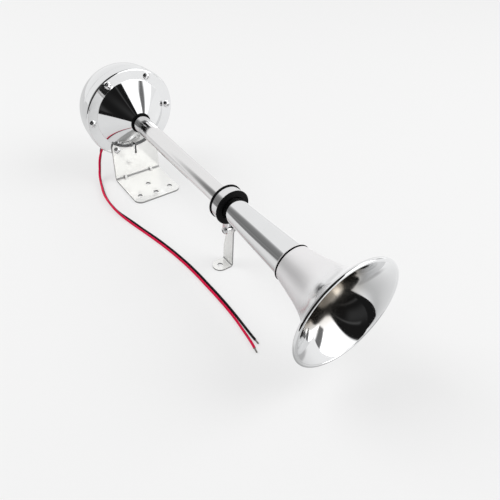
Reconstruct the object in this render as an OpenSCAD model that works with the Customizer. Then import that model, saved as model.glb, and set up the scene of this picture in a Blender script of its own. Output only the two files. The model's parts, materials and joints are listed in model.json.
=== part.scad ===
// Electric trumpet horn for a boat: a domed driver, a two-piece trumpet and two foot brackets.
// Stations run along the horn axis from the front face of the driver's flange, positive towards the bell.
// Angles round the axis run from +Y towards +Z.

/* [Trumpet] */
// Height of the horn axis above the mounting face
axis_h = 79; // [76:1:86]
// Outside radius of the straight rear tube
tube_r = 9.3; // [9:0.1:9.8]
// Wall of the rear and front tubes
tube_wall = 1; // [0.8:0.1:1.2]
// Station of the middle of the clamp band
collar_x = 193; // [180:1:200]
// Outside radius of the front tube where it leaves the rubber sleeve
front_tube_r = 11.5; // [11.3:0.1:12]
// Station of the seam between the front tube and the bell
seam_x = 283; // [270:1:290]
// Outside radius of the front tube at the seam
seam_r = 16.2; // [15:0.1:17]
// Radius of the bead round the bell's neck
neck_bead_r = 0.85; // [0.5:0.05:1]
// Station of the bell's front edge
bell_x = 351; // [345:1:370]
// Outside radius of the bell's rim
bell_r = 52; // [48:1:56]
// Wall of the bell
bell_wall = 0.8; // [0.7:0.1:1]
// Steady widening of the bell over its length, before the flare
flare_rise = 13; // [10:1:16]
// How sharply the bell flares near its rim
flare_power = 5; // [4:0.5:6]
// Radius of the rolled bead round the rim
bead_r = 1.7; // [1.5:0.1:2]

/* [Driver] */
// Outside radius of the front plate
flange_r = 51; // [50.5:0.1:53]
// Thickness of the front plate
plate_t = 1; // [0.8:0.1:1.2]
// Radius of the front plate's rounded rim
rim_round = 1.8; // [1.5:0.1:2.2]
// Length of the rim turned back over the housing
lip_len = 4.5; // [4:0.1:6]
// Width of the flat ring from the cone to the plate's edge
flange_w = 12; // [11.5:0.1:12.5]
// Length of the cone
cone_len = 22; // [20:1:26]
// Outside radius of the cone's front end
cone_tip_r = 10.2; // [10.1:0.1:10.6]
// Radius of the rounded corner between flange and cone
cone_round = 1.5; // [1:0.1:2]
// Thickness of each gasket
gasket_t = 0.7; // [0.6:0.1:0.8]
// Thickness of the diaphragm
diaphragm_t = 0.4; // [0.3:0.05:0.5]
// Wall of the housing ring
housing_wall = 1.2; // [1:0.1:1.3]
// Distance from the flange's front face to the dome
housing_len = 12.3; // [12:0.1:15]
// Length of the dome
dome_len = 48.7; // [45:0.1:55]
// Wall of the dome
dome_wall = 1; // [0.8:0.1:1.2]
// Station of the wire grommet
grommet_x = -22; // [-24:0.5:-21]
// Angle of the wire grommet round the axis
grommet_angle = 236; // [230:1:240]
// Diameter of each wire
wire_d = 2.4; // [2:0.1:2.5]

/* [Magnet and breaker] */
// Room between the inner pan and the flat ring
pan_room = 3.8; // [2.8:0.1:4]
// Sheet thickness of the inner pan
pan_t = 1.2; // [1:0.1:1.4]
// Depth of the inner pan behind the housing flange
pan_depth = 25; // [24.5:0.5:27]
// Distance from the magnet pot to the line where the contact leaf bends
pot_room = 7.5; // [7:0.1:8]
// Wall of the magnet pot
pot_wall = 1.6; // [1.4:0.1:1.8]
// Radius of the pole core and of the armature
core_r = 7; // [6.5:0.1:7.2]
// Air gap between armature and core
air_gap = 0.8; // [0.7:0.05:1]
// Length of the armature's cylinder
armature_len = 7; // [6.5:0.1:8]
// How far the armature's plate reaches past the middle of the pusher
plate_reach = 2; // [1.8:0.1:2.4]
// Distance from the contacts to the insulated pusher
pusher_back = 8; // [7.7:0.1:8.5]
// Length of the breaker's post, from the line where the contact leaf bends to the pan's wall
post_room = 8.5; // [8:0.1:9]
// Distance from the bending line to the contacts
contact_back = 4; // [3.5:0.1:4.5]
// Thickness of the contact leaf
leaf_t = 0.5; // [0.4:0.05:0.6]
// Radius of the tuning screw
tuning_r = 2; // [1.8:0.1:2.1]

/* [Fasteners] */
// Distance of the flange screws from the plate's edge
screw_inset = 6.5; // [6.2:0.1:7]
// Radius of a flange screw's shank
screw_r = 2; // [1.8:0.1:2.1]
// Radius of a flange screw's head
screw_head_r = 3.5; // [3.2:0.1:3.7]
// Height of a flange screw's head
screw_head_h = 2.2; // [1.8:0.1:2.6]
// Width across the flats of the flange nuts
nut_width = 7; // [6.5:0.1:7.2]
// Height of the flange nuts
nut_h = 3; // [2.6:0.1:3.2]

/* [Sleeve and clamp] */
// Length of the rubber sleeve
sleeve_len = 13; // [12.5:0.1:14]
// Radius of the sleeve's end rings
sleeve_r = 17.3; // [16.5:0.1:17.5]
// Radius of the groove that the band lies in
groove_r = 15.6; // [15.2:0.1:15.8]
// Width of the clamp band
band_w = 8; // [7:0.1:9]
// Thickness of the clamp band
band_t = 0.8; // [0.6:0.1:1]
// Half the distance between the band's ears
ear_gap = 3.2; // [3:0.1:3.6]
// Height of the clamp screw above the mounting face
pivot_h = 50; // [47:0.5:52]
// Radius of the clamp screw's shank
clamp_screw_r = 2; // [1.8:0.1:2.1]

/* [Brackets] */
// Sheet thickness of the rear bracket
bracket_t = 2; // [1.8:0.1:2.2]
// Width of the rear bracket
bracket_w = 56; // [56:1:62]
// Length of the rear bracket's foot
foot_len = 56; // [55:1:62]
// Radius of the foot's front corners
foot_corner = 8; // [6:0.5:9]
// Radius of the holes in both feet
foot_hole_r = 2.75; // [2.5:0.05:3]
// Distance from the flange to the two outer foot holes
side_holes_x = 44; // [42:0.5:46]
// Spacing of the two outer foot holes
side_holes_gap = 38; // [34:0.5:40]
// Distance from the flange to the front middle hole
front_hole_x = 46.5; // [46:0.5:50]
// Distance from the flange to the rear middle hole
rear_hole_x = 27.5; // [24:0.5:32]
// Width of the slot in the upright plate
slot_w = 2.2; // [1.8:0.1:2.6]
// Length of the slot below the plate's curved edge
slot_len = 10; // [8:0.5:12]
// Sheet thickness of the front bracket
tab_t = 1.5; // [1.4:0.1:1.6]
// Width of the front bracket's foot
tab_w = 15; // [14:0.5:16]
// Distance of the front foot's hole behind the clamp screw
front_foot_back = 5.7; // [5:0.1:6.5]
// Distance of the front foot's hole to the side of the horn axis
front_foot_side = 4.8; // [4.5:0.1:6]

/* [Hidden] */

$fn = 96;
// How far a cut runs past the face that it opens
cut = 0.5;
// Room between two pieces of one fixed group
seat_gap = 0.05;
// Room round a shaft that turns in its hole
running_gap = 0.08;
// Room between a screw and its hole
hole_gap = 0.2;
arc_steps = 8;
dome_steps = 24;
flare_steps = 28;

// Radii that follow from the flange
cone_base_r = flange_r - flange_w;
screw_circle_r = flange_r - screw_inset;
pan_r = cone_base_r - pan_room;

// Stations of the stack behind the flange
plate_back = -plate_t;
front_gasket_back = plate_back - gasket_t;
diaphragm_back = front_gasket_back - diaphragm_t;
rear_gasket_back = diaphragm_back - gasket_t;
housing_flange_t = 2;
housing_flange_back = rear_gasket_back - housing_flange_t;
pan_flange_back = housing_flange_back - pan_t;
nut_back = pan_flange_back - nut_h;

housing_r = flange_r - plate_t - 0.1;
housing_inner_r = housing_r - housing_wall;
stack_r = housing_r - 0.7;
stack_inner_r = cone_base_r - 0.4;
dome_start = -housing_len;
dome_back = dome_start - dome_len;
spigot_r = housing_inner_r - seat_gap;
spigot_len = 2.2;
mid_x = (dome_back + bell_x) / 2;

cone_slope = (cone_base_r - cone_tip_r) / cone_len;
cone_stretch = sqrt(1 + cone_slope * cone_slope);
cone_hole_r = tube_r + seat_gap;

// The inner pan, the pot and everything that stands in it
pan_front = housing_flange_back;
pan_floor = housing_flange_back - pan_depth + pan_t;
pan_back = pan_floor - pan_t;
pan_inner_r = pan_r - pan_t;
leaf_bend_at = pan_inner_r - post_room;
contact_at = leaf_bend_at - contact_back;
pusher_at = contact_at - pusher_back;
pot_r = leaf_bend_at - pot_room;
washer_t = 1;
armature_washer_r = 9;
armature_plate_r = pusher_at + plate_reach;
armature_front = diaphragm_back - washer_t;
armature_plate_t = 1.2;
armature_back = armature_front - armature_plate_t - armature_len;
core_front = armature_back - air_gap;
pot_floor_t = 2;
pot_front = core_front + 0.5;
bobbin_front = pot_front + 0.4;
bobbin_back = pan_floor + pot_floor_t;
bobbin_bore_r = core_r + 0.5;
bobbin_tube_r = bobbin_bore_r + 0.8;
bobbin_flange_r = pot_r - pot_wall - 0.2;
bobbin_flange_t = 1;
winding_r = bobbin_flange_r - 0.8;
core_stud_r = 3;
core_nut_w = 10;
core_nut_h = 4;
core_stud_end = pan_back - core_nut_h - 1;
stud_r = 2.5;
stud_nut_w = 8;
stud_nut_h = 4;

// The breaker stands above the axis, on the pan's floor
leaf_front = bobbin_front + 2.1;
leaf_back = leaf_front - leaf_t;
insulator_t = 1;
contact_t = (insulator_t - 0.02) / 2;
contact_r = 1.8;
insulator_front = leaf_front + insulator_t;
fixed_arm_t = 1;
fixed_arm_front = insulator_front + fixed_arm_t;
post_top = pan_inner_r - 1.4;
post_w = 10;
arm_w = 7;
arm_inner = pusher_at - 2.5;
pusher_r = 1.5;
pusher_gap = 0.05;
breaker_screw_r = 1.5;
breaker_screw_head_r = 2.6;
breaker_screw_head_h = 1.6;
breaker_screw_at = (leaf_bend_at + post_top) / 2;
breaker_screw_y = 2.8;
breaker_screw_len = 12;
tuning_y = post_w / 2 + tuning_r + 2;
tuning_at = leaf_bend_at - 1.5;
tuning_nut_w = 7;
tuning_nut_h = 2.6;
tuning_bush_r = 4;
tuning_bush_len = 4;
tuning_head_r = 3;
tuning_head_h = 2;
tuning_tip = insulator_front - pusher_gap;
tuning_end = pan_back - tuning_nut_h - 3;

// The terminal strip is riveted to the back of the pan, below the axis
strip_t = 2;
strip_w = 36;
strip_rivet_y = 15.3;
strip_top = -14;
strip_bottom = -28;
terminal_t = 0.8;
terminal_w = 6;
terminal_y = 9;
rivet_r = 1.4;
rivet_head_r = 2.4;
rivet_head_h = 1;
rivet_at = -18;
strip_back = pan_back - strip_t;
terminal_back = strip_back - terminal_t;
resistor_r = 2;
lead_y = 20;
lead_hole_z = -12;
lead_hole_r = 3;
lead_r = 0.5;

// The wires leave the dome through the grommet
wire_r = wire_d / 2;
wire_pitch = wire_d + 0.3;
grommet_r = 5.4;
grommet_neck_r = 4.2;
grommet_flange_t = 1.8;
grommet_surface = housing_r * sqrt(1 - pow((grommet_x - dome_start) / dome_len, 2));
grommet_out = grommet_surface + grommet_flange_t;
grommet_in = grommet_surface - dome_wall - grommet_flange_t;
grommet_dir = [0, cos(grommet_angle), sin(grommet_angle)];
wire_sides = 8;
bare_r = 0.8;
bare_len = 5;

// Route of the red wire past the grommet: station, sideways and height
red_floor = [[-20.2, -34.9, 25.8], [-18.6, -37.7, 18.2], [-15.6, -39.8, 12.2], [-10.6, -42.8, 7.6],
    [-3, -45.6, 4.8], [7.6, -48.8, 3.7], [18.6, -52, 3.7], [31, -54, 3.7], [43.6, -54.6, 3.6],
    [55.4, -54.2, 3], [68, -52.3, 2.2], [80.6, -49.4, 1.3], [94, -46.4, 1.2], [108, -43.2, 1.2],
    [121, -40.4, 1.2], [133.4, -38, 1.2], [145.8, -36, 1.2], [158, -34.4, 1.2], [168.4, -33.3, 1.2],
    [179.4, -32.5, 1.2], [190, -32, 1.2], [199.6, -31.8, 1.2], [209, -31.6, 1.2], [219, -31.4, 1.2],
    [228, -31.4, 1.2], [237, -31.5, 1.2], [245.6, -31.8, 1.2], [254, -32.3, 1.2], [262, -33.1, 1.2],
    [270, -34, 1.2], [277.6, -34.9, 1.2], [284.6, -35.9, 1.2], [290, -37, 1.2]];
// Route of the black wire, which crosses under the red one and comes up on its inner side
black_floor = [[-22.1, -33.6, 24.8], [-20.6, -36.3, 17], [-17.3, -38.7, 10.3], [-11.8, -41.9, 5.2],
    [-3.6, -44.8, 2.2], [7.4, -47.9, 1.3], [18.8, -50.8, 1.2], [31.2, -52.7, 1.2], [43.8, -53.1, 1.2],
    [55.8, -52.3, 1.2], [68.8, -49.6, 1.2], [81.4, -46.6, 1.2], [94.8, -43.8, 1.2], [108.8, -40.5, 1.2],
    [121.8, -37.6, 1.2], [134, -35.4, 1.2], [146.2, -33.4, 1.2], [158.4, -31.8, 1.2],
    [168.6, -30.7, 1.2], [179.6, -29.9, 1.2], [190, -29.4, 1.2], [199.6, -29.2, 1.2],
    [209, -29, 1.2], [219, -28.8, 1.2], [228, -28.8, 1.2], [237, -28.9, 1.2], [245.4, -29.2, 1.2],
    [254, -29.6, 1.2], [262, -30.1, 1.2], [270, -30.6, 1.2], [277, -31, 1.2], [283, -31.2, 1.2]];
// Routes inside the dome, from each terminal to the grommet: distance behind the pan, share of the
// way out from the terminal to the turn, and angle
red_inside = [[6.7, 0, 287], [9.4, 0.04, 281], [10.8, 0.1, 272], [11.2, 0.21, 262], [10.6, 0.46, 253],
    [9.2, 0.63, 246.5], [6.7, 0.8, 241.5], [3.2, 0.93, 238], [-0.3, 1, 236.3]];
black_inside = [[5.4, 0.03, 252], [6.4, 0.2, 251.2], [6.5, 0.48, 249.4], [5.2, 0.76, 246],
    [3.2, 0.93, 241.5], [0.7, 1, 237.6]];
turn_r = 5;
turn_from = pan_r + wire_r + 0.4;
turn_step = wire_d + 0.6;
terminal_out = 29.7;
turn_steps = 5;

// The trumpet's own joints
ferrule_len = 6.4;
ferrule_inset = 1.6;
ferrule_step = 2;
ferrule_front = cone_len - ferrule_inset;
ferrule_back = ferrule_front - ferrule_len;
seal_r = 11.2;
seal_w = 2;
sleeve_back = collar_x - sleeve_len / 2;
sleeve_front = collar_x + sleeve_len / 2;
rear_tube_end = collar_x + 3;
front_tube_back = collar_x - 3;
neck_r = tube_r + 0.1 + tube_wall;
neck_end = rear_tube_end + 1;
insert_len = 6;
bell_neck_r = seam_r + seat_gap + bell_wall;
bead_x = bell_x - bead_r;
bead_at = bell_r - bead_r;
bead_wire_r = bead_r - bell_wall + 0.05;
flare_end = bead_x + 1.2;

// The clamp turns on the sleeve, and the front bracket swings on its screw
band_bore_r = groove_r + running_gap;
band_r = band_bore_r + band_t;
ear_y = ear_gap + band_t;
ear_r = 4;
tab_front_y = ear_y + seat_gap;
tab_back_y = tab_front_y + tab_t;
tab_top_r = 4.5;
clamp_head_r = 3.4;
clamp_head_h = 2.2;
clamp_washer_r = 4;
clamp_washer_t = 0.8;
clamp_nut_w = 7;
clamp_nut_h = 3.2;
clamp_washer_y = tab_back_y + seat_gap;
clamp_nut_y = clamp_washer_y + clamp_washer_t;
clamp_screw_end = clamp_nut_y + clamp_nut_h + 1;

// The brackets
bend_in = 2;
bend_out = bend_in + bracket_t;
ear_lobe_r = 8;
ear_lobe_z = axis_h - screw_circle_r * sin(60) + 3;
arc_gap = 0.8;
dimple_y = 16.5;
dimple_w = 2.6;
dimple_size = 3.8;
tab_bend_in = 1.5;
tab_bend_out = tab_bend_in + tab_t;
front_foot_x = collar_x - front_foot_back;
tab_shoulder_h = 18;
tab_taper = 3.4;

screw_angles = [0, 60, 120, 180, 240, 300];
washer_r = 3.9;
washer_h = 0.7;
screw_tail = 1.5;
head_root = 0.5;

// Places a solid drawn along +Z on the horn axis at station x
module along(x) {
    translate([x - mid_x, 0, axis_h])
    rotate([0, 90, 0])
    children();
}

// Places a solid drawn along +Z at distance r from the axis and angle a
module around(x, a, r) {
    along(x)
    rotate([0, 0, a + 90])
    translate([r, 0, 0])
    children();
}

// Points a solid drawn along +Z away from the axis at station x and angle a
module radial(x, a) {
    translate([x - mid_x, 0, axis_h])
    rotate([a - 90, 0, 0])
    children();
}

// Turns an outline of [station, radius] points round the horn axis
module turned(outline) {
    along(0)
    rotate_extrude()
    polygon([for (p = outline) [p[1], p[0]]]);
}

// Ring between two stations
module ring(back, front, outer_r, inner_r) {
    turned([[back, inner_r], [front, inner_r], [front, outer_r], [back, outer_r]]);
}

// Box between two corners given as station, sideways and height above the axis
module block(low, high) {
    translate([low[0] - mid_x, low[1], axis_h + low[2]])
    cube(high - low);
}

// Points on an arc round [x, r]
function arc(x, r, size, from, to) =
    [for (i = [0:arc_steps]) let (a = from + (to - from) * i / arc_steps) [x + size * cos(a), r + size * sin(a)]];

// Quarter ellipse from the housing to the back of the dome
function dome_curve(length, radius) =
    [for (i = [0:dome_steps]) let (a = 90 * i / dome_steps) [dome_start - length * sin(a), radius * cos(a)]];

// Outside radius of the front tube at station x
function front_tube_at(x) =
    front_tube_r + (seam_r - front_tube_r) * (x - sleeve_front) / (seam_x - sleeve_front);

// Outside radius and slope of the bell at station x
function bell_share(x) = (x - seam_x) / (flare_end - seam_x);
function bell_at(x) =
    bell_neck_r + flare_rise * bell_share(x)
    + (bead_at - bell_neck_r - flare_rise) * pow(bell_share(x), flare_power);
function bell_slope(x) =
    (flare_rise + flare_power * (bead_at - bell_neck_r - flare_rise) * pow(bell_share(x), flare_power - 1))
    / (flare_end - seam_x);
function bell_inside(x) = bell_at(x) - bell_wall * sqrt(1 + bell_slope(x) * bell_slope(x));
function bell_station(i) = seam_x + (flare_end - seam_x) * i / flare_steps;

// Tube swept along a route, with its ends square to it
function unit(v) = v / norm(v);
function tangents(route) =
    [for (i = [0:len(route) - 1]) unit(route[min(i + 1, len(route) - 1)] - route[max(i - 1, 0)])];
function across(n, t) = unit(n - t * (n * t));
function normals(t, n, i = 0, done = []) =
    i == len(t) ? done : normals(t, across(n, t[i]), i + 1, concat(done, [across(n, t[i])]));
function sweep_points(route, r, t, n) =
    [for (i = [0:len(route) - 1]) for (k = [0:wire_sides - 1])
        let (a = 360 * k / wire_sides)
        route[i] + r * (n[i] * cos(a) + cross(t[i], n[i]) * sin(a))];
function sweep_faces(rings) = concat(
    [for (i = [0:rings - 2]) for (k = [0:wire_sides - 1])
        let (a = i * wire_sides + k, b = i * wire_sides + (k + 1) % wire_sides)
        [a, a + wire_sides, b]],
    [for (i = [0:rings - 2]) for (k = [0:wire_sides - 1])
        let (a = i * wire_sides + k, b = i * wire_sides + (k + 1) % wire_sides)
        [b, a + wire_sides, b + wire_sides]],
    [[for (k = [0:wire_sides - 1]) k]],
    [[for (k = [wire_sides - 1:-1:0]) (rings - 1) * wire_sides + k]]);
module tube(route, r) {
    t = tangents(route);
    n = normals(t, [1, 0, 0.2]);
    translate([-mid_x, 0, 0])
    polyhedron(points = sweep_points(route, r, t, n), faces = sweep_faces(len(route)));
}

// Where a wire passes the grommet, at a distance from the axis and to one side
function grommet_point(side, r) =
    [grommet_x + side * wire_pitch / 2, r * grommet_dir[1], axis_h + r * grommet_dir[2]];
function free_route(side, floor_points) =
    concat([grommet_point(side, grommet_out), grommet_point(side, grommet_out + 5)], floor_points);
function on_way(p, end) =
    let (r = terminal_out + (end - terminal_out) * p[1])
    [pan_back - p[0], r * cos(p[2]), axis_h + r * sin(p[2])];
function turn_at(side, from, a) =
    grommet_point(side, from + turn_r * (1 - cos(a))) - [turn_r * (1 - sin(a)), 0, 0];
function inner_route(side, from, points) = concat(
    [[terminal_back - 0.5, side * terminal_y, axis_h + strip_bottom + 0.95 - wire_r]],
    [for (p = points) on_way(p, from)],
    [for (i = [0:turn_steps]) turn_at(side, from, 90 * i / turn_steps)],
    [grommet_point(side, grommet_out)]);

// Pan head with a cross recess, drawn up from its seat
module pan_head(r, h) {
    recess_w = r * 0.28;
    recess_len = r * 1.15;
    difference() {
        rotate_extrude()
        polygon([[0, 0], [r, 0], [r, h * 0.4], [r * 0.92, h * 0.7], [r * 0.7, h * 0.92], [r * 0.4, h], [0, h]]);
        for (a = [0, 90])
            rotate([0, 0, a + 20])
            translate([-recess_len / 2, -recess_w / 2, h * 0.45])
            cube([recess_len, recess_w, h]);
    }
}

// Hexagon nut with a bore, drawn up from its seat
module hex_nut(width, h, bore_r) {
    difference() {
        rotate([0, 0, 30])
        cylinder(h = h, r = width / sqrt(3), $fn = 6);
        translate([0, 0, -cut])
        cylinder(h = h + 2 * cut, r = bore_r);
    }
}

module flange_holes(back, front) {
    for (a = screw_angles)
        around(back - cut, a, screw_circle_r)
        cylinder(h = front - back + 2 * cut, r = screw_r + hole_gap);
}

// A gasket, the diaphragm's rim and the housing's flange all have the screws' holes
module stacked_ring(back, front, inner_r) {
    difference() {
        ring(back, front, stack_r, inner_r);
        flange_holes(back, front);
    }
}

module dome_shell() {
    turned(concat(
        dome_curve(dome_len, housing_r),
        [for (i = [dome_steps:-1:0]) dome_curve(dome_len - dome_wall, spigot_r - dome_wall)[i]],
        [[dome_start + spigot_len, spigot_r - dome_wall], [dome_start + spigot_len, spigot_r],
            [dome_start, spigot_r]]));
}

module dome_cover() {
    color("whitesmoke")
    difference() {
        dome_shell();
        radial(grommet_x, grommet_angle)
        translate([0, 0, grommet_in])
        cylinder(h = grommet_out - grommet_in, r = grommet_neck_r);
    }
}

module rear_housing() {
    color("gainsboro")
    difference() {
        turned([[rear_gasket_back, stack_inner_r], [rear_gasket_back, housing_r], [dome_start, housing_r],
            [dome_start, housing_inner_r], [housing_flange_back, housing_inner_r],
            [housing_flange_back, stack_inner_r]]);
        flange_holes(housing_flange_back, rear_gasket_back);
    }
}

module front_plate() {
    rim_x = -rim_round;
    rim_at = flange_r - rim_round;
    fillet_at = cone_base_r + cone_round * (cone_stretch - cone_slope);
    inner_base_r = cone_base_r + cone_slope * plate_t - plate_t * cone_stretch;
    inner_tip_x = (cone_base_r - plate_t * cone_stretch - cone_hole_r) / cone_slope;
    color("silver")
    difference() {
        turned(concat(
            [[-lip_len, flange_r]],
            arc(rim_x, rim_at, rim_round, 90, 0),
            arc(cone_round, fillet_at, cone_round, 180, 180 + atan(1 / cone_slope)),
            [[cone_len, cone_tip_r], [cone_len, cone_hole_r], [inner_tip_x, cone_hole_r],
                [plate_back, inner_base_r]],
            arc(rim_x, rim_at, rim_round - plate_t, 0, 90),
            [[-lip_len, flange_r - plate_t]]));
        flange_holes(plate_back, 0);
    }
}

module front_gasket() {
    color("dimgray")
    stacked_ring(front_gasket_back, plate_back, stack_inner_r);
}

module diaphragm() {
    color("lightsteelblue")
    stacked_ring(diaphragm_back, front_gasket_back, stud_r + seat_gap);
}

module rear_gasket() {
    color("dimgray")
    stacked_ring(rear_gasket_back, diaphragm_back, stack_inner_r);
}

module inner_pan() {
    color("silver")
    difference() {
        turned([[pan_flange_back, pan_r], [pan_flange_back, housing_inner_r - 0.3],
            [pan_front, housing_inner_r - 0.3], [pan_front, pan_inner_r], [pan_floor, pan_inner_r],
            [pan_floor, core_stud_r + seat_gap], [pan_back, core_stud_r + seat_gap], [pan_back, pan_r]]);
        flange_holes(pan_flange_back, pan_front);
        place_tuning(pan_back - cut)
        cylinder(h = pan_t + 2 * cut, r = tuning_r + 1.2);
        for (side = [-1, 1])
            rivet_hole(side * terminal_y, pan_back, pan_floor, rivet_head_r + 0.4);
        for (side = [-1, 1])
            rivet_hole(side * strip_rivet_y, pan_back, pan_floor, rivet_r + seat_gap);
        lead_hole();
    }
}

// Hole in the pan's floor for the coil and breaker leads
module lead_hole() {
    translate([pan_back - cut - mid_x, -lead_y, axis_h + lead_hole_z])
    rotate([0, 90, 0])
    cylinder(h = pan_t + 2 * cut, r = lead_hole_r);
}
module magnet_pot() {
    color("slategray")
    turned([[pot_front, pot_r], [pot_front, pot_r - pot_wall], [bobbin_back, pot_r - pot_wall],
        [bobbin_back, core_stud_r + seat_gap], [pan_floor, core_stud_r + seat_gap], [pan_floor, pot_r]]);
}

module pole_core() {
    color("darkgray") {
        along(bobbin_back)
        cylinder(h = core_front - bobbin_back, r = core_r);
        along(core_stud_end)
        cylinder(h = bobbin_back - core_stud_end, r = core_stud_r);
    }
}

module pole_nut() {
    color("goldenrod")
    along(pan_back - core_nut_h)
    hex_nut(core_nut_w, core_nut_h, core_stud_r + seat_gap);
}

module coil_bobbin() {
    color("ivory")
    turned([[bobbin_back, bobbin_bore_r], [bobbin_back, bobbin_flange_r],
        [bobbin_back + bobbin_flange_t, bobbin_flange_r], [bobbin_back + bobbin_flange_t, bobbin_tube_r],
        [bobbin_front - bobbin_flange_t, bobbin_tube_r], [bobbin_front - bobbin_flange_t, bobbin_flange_r],
        [bobbin_front, bobbin_flange_r], [bobbin_front, bobbin_bore_r]]);
}

module coil_winding() {
    color("chocolate")
    ring(bobbin_back + bobbin_flange_t, bobbin_front - bobbin_flange_t, winding_r, bobbin_tube_r);
}

// Thin insulated lead along points given as station, sideways and height above the axis
module lead(points) {
    tube([for (p = points) p + [0, 0, axis_h]], lead_r);
}

module coil_leads() {
    lead_x = bobbin_front + 0.6;
    side_x = pot_front + 1;
    tab_x = terminal_back - lead_r - 0.05;
    color("saddlebrown") {
        lead([[lead_x, -winding_r + 1, -4], [lead_x, -pot_r - 0.5, -5.5], [lead_x - 1, -pot_r - 1.8, -6],
            [pan_floor + 2, -lead_y, lead_hole_z + 1], [pan_back - 1, -lead_y, lead_hole_z],
            [tab_x + 0.5, -lead_y + 1, lead_hole_z - 1], [tab_x, -lead_y + 3, lead_hole_z - 2.2],
            [tab_x, -terminal_y - 2.6, strip_top - 1.8]]);
        lead([[lead_x, -4, winding_r - 1], [lead_x, -5.6, pot_r], [side_x, -post_w / 2 - 1.5, pot_r + 2],
            [leaf_back - lead_r, -post_w / 2 - 0.6, leaf_bend_at + 3]]);
    }
}

module armature() {
    color("darkgray")
    difference() {
        turned([[armature_front, 0], [armature_front, armature_plate_r],
            [armature_front - armature_plate_t, armature_plate_r], [armature_front - armature_plate_t, core_r],
            [armature_back, core_r], [armature_back, 0]]);
        along(armature_front - armature_plate_t - 3)
        cylinder(h = armature_plate_t + 3 + cut, r = stud_r);
    }
}

module armature_stud() {
    color("gray")
    along(armature_front - armature_plate_t - 3)
    cylinder(h = armature_plate_t + 3 + washer_t + diaphragm_t + washer_t + stud_nut_h + 1, r = stud_r);
}

module diaphragm_washers() {
    color("silver") {
        ring(armature_front, diaphragm_back, armature_washer_r, stud_r + seat_gap);
        ring(front_gasket_back, front_gasket_back + washer_t, armature_washer_r, stud_r + seat_gap);
    }
}

module armature_nut() {
    color("goldenrod")
    along(front_gasket_back + washer_t)
    hex_nut(stud_nut_w, stud_nut_h, stud_r + seat_gap);
}

module pusher_pin() {
    pusher_len = armature_front - armature_plate_t - leaf_front - pusher_gap;
    color("sienna")
    around(leaf_front + pusher_gap, 90, pusher_at) {
        translate([0, 0, pusher_r])
        cylinder(h = pusher_len - pusher_r, r = pusher_r);
        translate([0, 0, pusher_r])
        sphere(r = pusher_r);
    }
}

module breaker_holes(back, front, r) {
    for (y = [-breaker_screw_y, breaker_screw_y])
        translate([back - mid_x, y, axis_h + breaker_screw_at])
        rotate([0, 90, 0])
        cylinder(h = front - back, r = r);
}

module breaker_post() {
    color("sienna")
    difference() {
        block([pan_floor, -post_w / 2, leaf_bend_at + 0.2], [leaf_back, post_w / 2, post_top]);
        breaker_holes(fixed_arm_front - breaker_screw_len - cut, leaf_back + cut, breaker_screw_r + seat_gap);
    }
}

module leaf_root() {
    color("goldenrod")
    difference() {
        block([leaf_back, -post_w / 2, leaf_bend_at + 0.2], [leaf_front, post_w / 2, post_top]);
        breaker_holes(leaf_back - cut, leaf_front + cut, breaker_screw_r + seat_gap);
    }
}

module contact_arm() {
    color("goldenrod")
    block([leaf_back, -arm_w / 2, arm_inner], [leaf_front, arm_w / 2, leaf_bend_at - 0.1]);
}

module moving_contact() {
    color("lightgray")
    around(leaf_front, 90, contact_at)
    cylinder(h = contact_t, r = contact_r);
}

module leaf_insulator() {
    color("sienna")
    difference() {
        block([leaf_front, -post_w / 2, leaf_bend_at + 0.2], [insulator_front, post_w / 2, post_top]);
        breaker_holes(leaf_front - cut, insulator_front + cut, breaker_screw_r + seat_gap);
    }
}

module fixed_contact_arm() {
    color("goldenrod")
    difference() {
        union() {
            block([insulator_front, -post_w / 2, contact_at - contact_r - 0.6],
                [fixed_arm_front, post_w / 2, post_top]);
            block([insulator_front, 0, tuning_at - 3], [fixed_arm_front, tuning_y + 3, tuning_at + 3]);
        }
        breaker_holes(insulator_front - cut, fixed_arm_front + cut, breaker_screw_r + seat_gap);
    }
}

module fixed_contact() {
    color("lightgray")
    around(insulator_front - contact_t, 90, contact_at)
    cylinder(h = contact_t, r = contact_r);
}

module breaker_screws() {
    color("gray")
    for (y = [-breaker_screw_y, breaker_screw_y])
        translate([fixed_arm_front - mid_x, y, axis_h + breaker_screw_at])
        rotate([0, 90, 0]) {
            pan_head(breaker_screw_head_r, breaker_screw_head_h);
            translate([0, 0, -breaker_screw_len])
            cylinder(h = breaker_screw_len, r = breaker_screw_r);
        }
}

// Lead from the fixed contact arm to the other terminal, past the post and the coil
module breaker_lead() {
    start_x = fixed_arm_front + lead_r + 0.02;
    back_x = terminal_back - rivet_head_h - lead_r - 0.2;
    color("firebrick")
    lead([[start_x, -post_w / 2 + 0.8, contact_at], [start_x, -post_w / 2 - 1.2, contact_at],
        [start_x - 1.2, -post_w / 2 - 2.6, contact_at], [leaf_back - 3, -post_w / 2 - 4, contact_at - 0.8],
        [leaf_back - 10, -pot_r - 2.5, pot_r / 2 - 1], [pan_floor + 2, -lead_y - 0.6, lead_hole_z + 2.4],
        [pan_back - 1, -lead_y, lead_hole_z + 1.6],
        [back_x + 0.6, -lead_y + 1.6, lead_hole_z + 1], [back_x, -lead_y + 4, lead_hole_z + 0.4],
        [back_x, 0, lead_hole_z - 1], [back_x, terminal_y - 2.6, strip_top],
        [terminal_back - lead_r - 0.05, terminal_y - 2.2, strip_top - 1.4]]);
}

module place_tuning(x) {
    translate([x - mid_x, tuning_y, axis_h + tuning_at])
    rotate([0, 90, 0])
    children();
}

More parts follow.
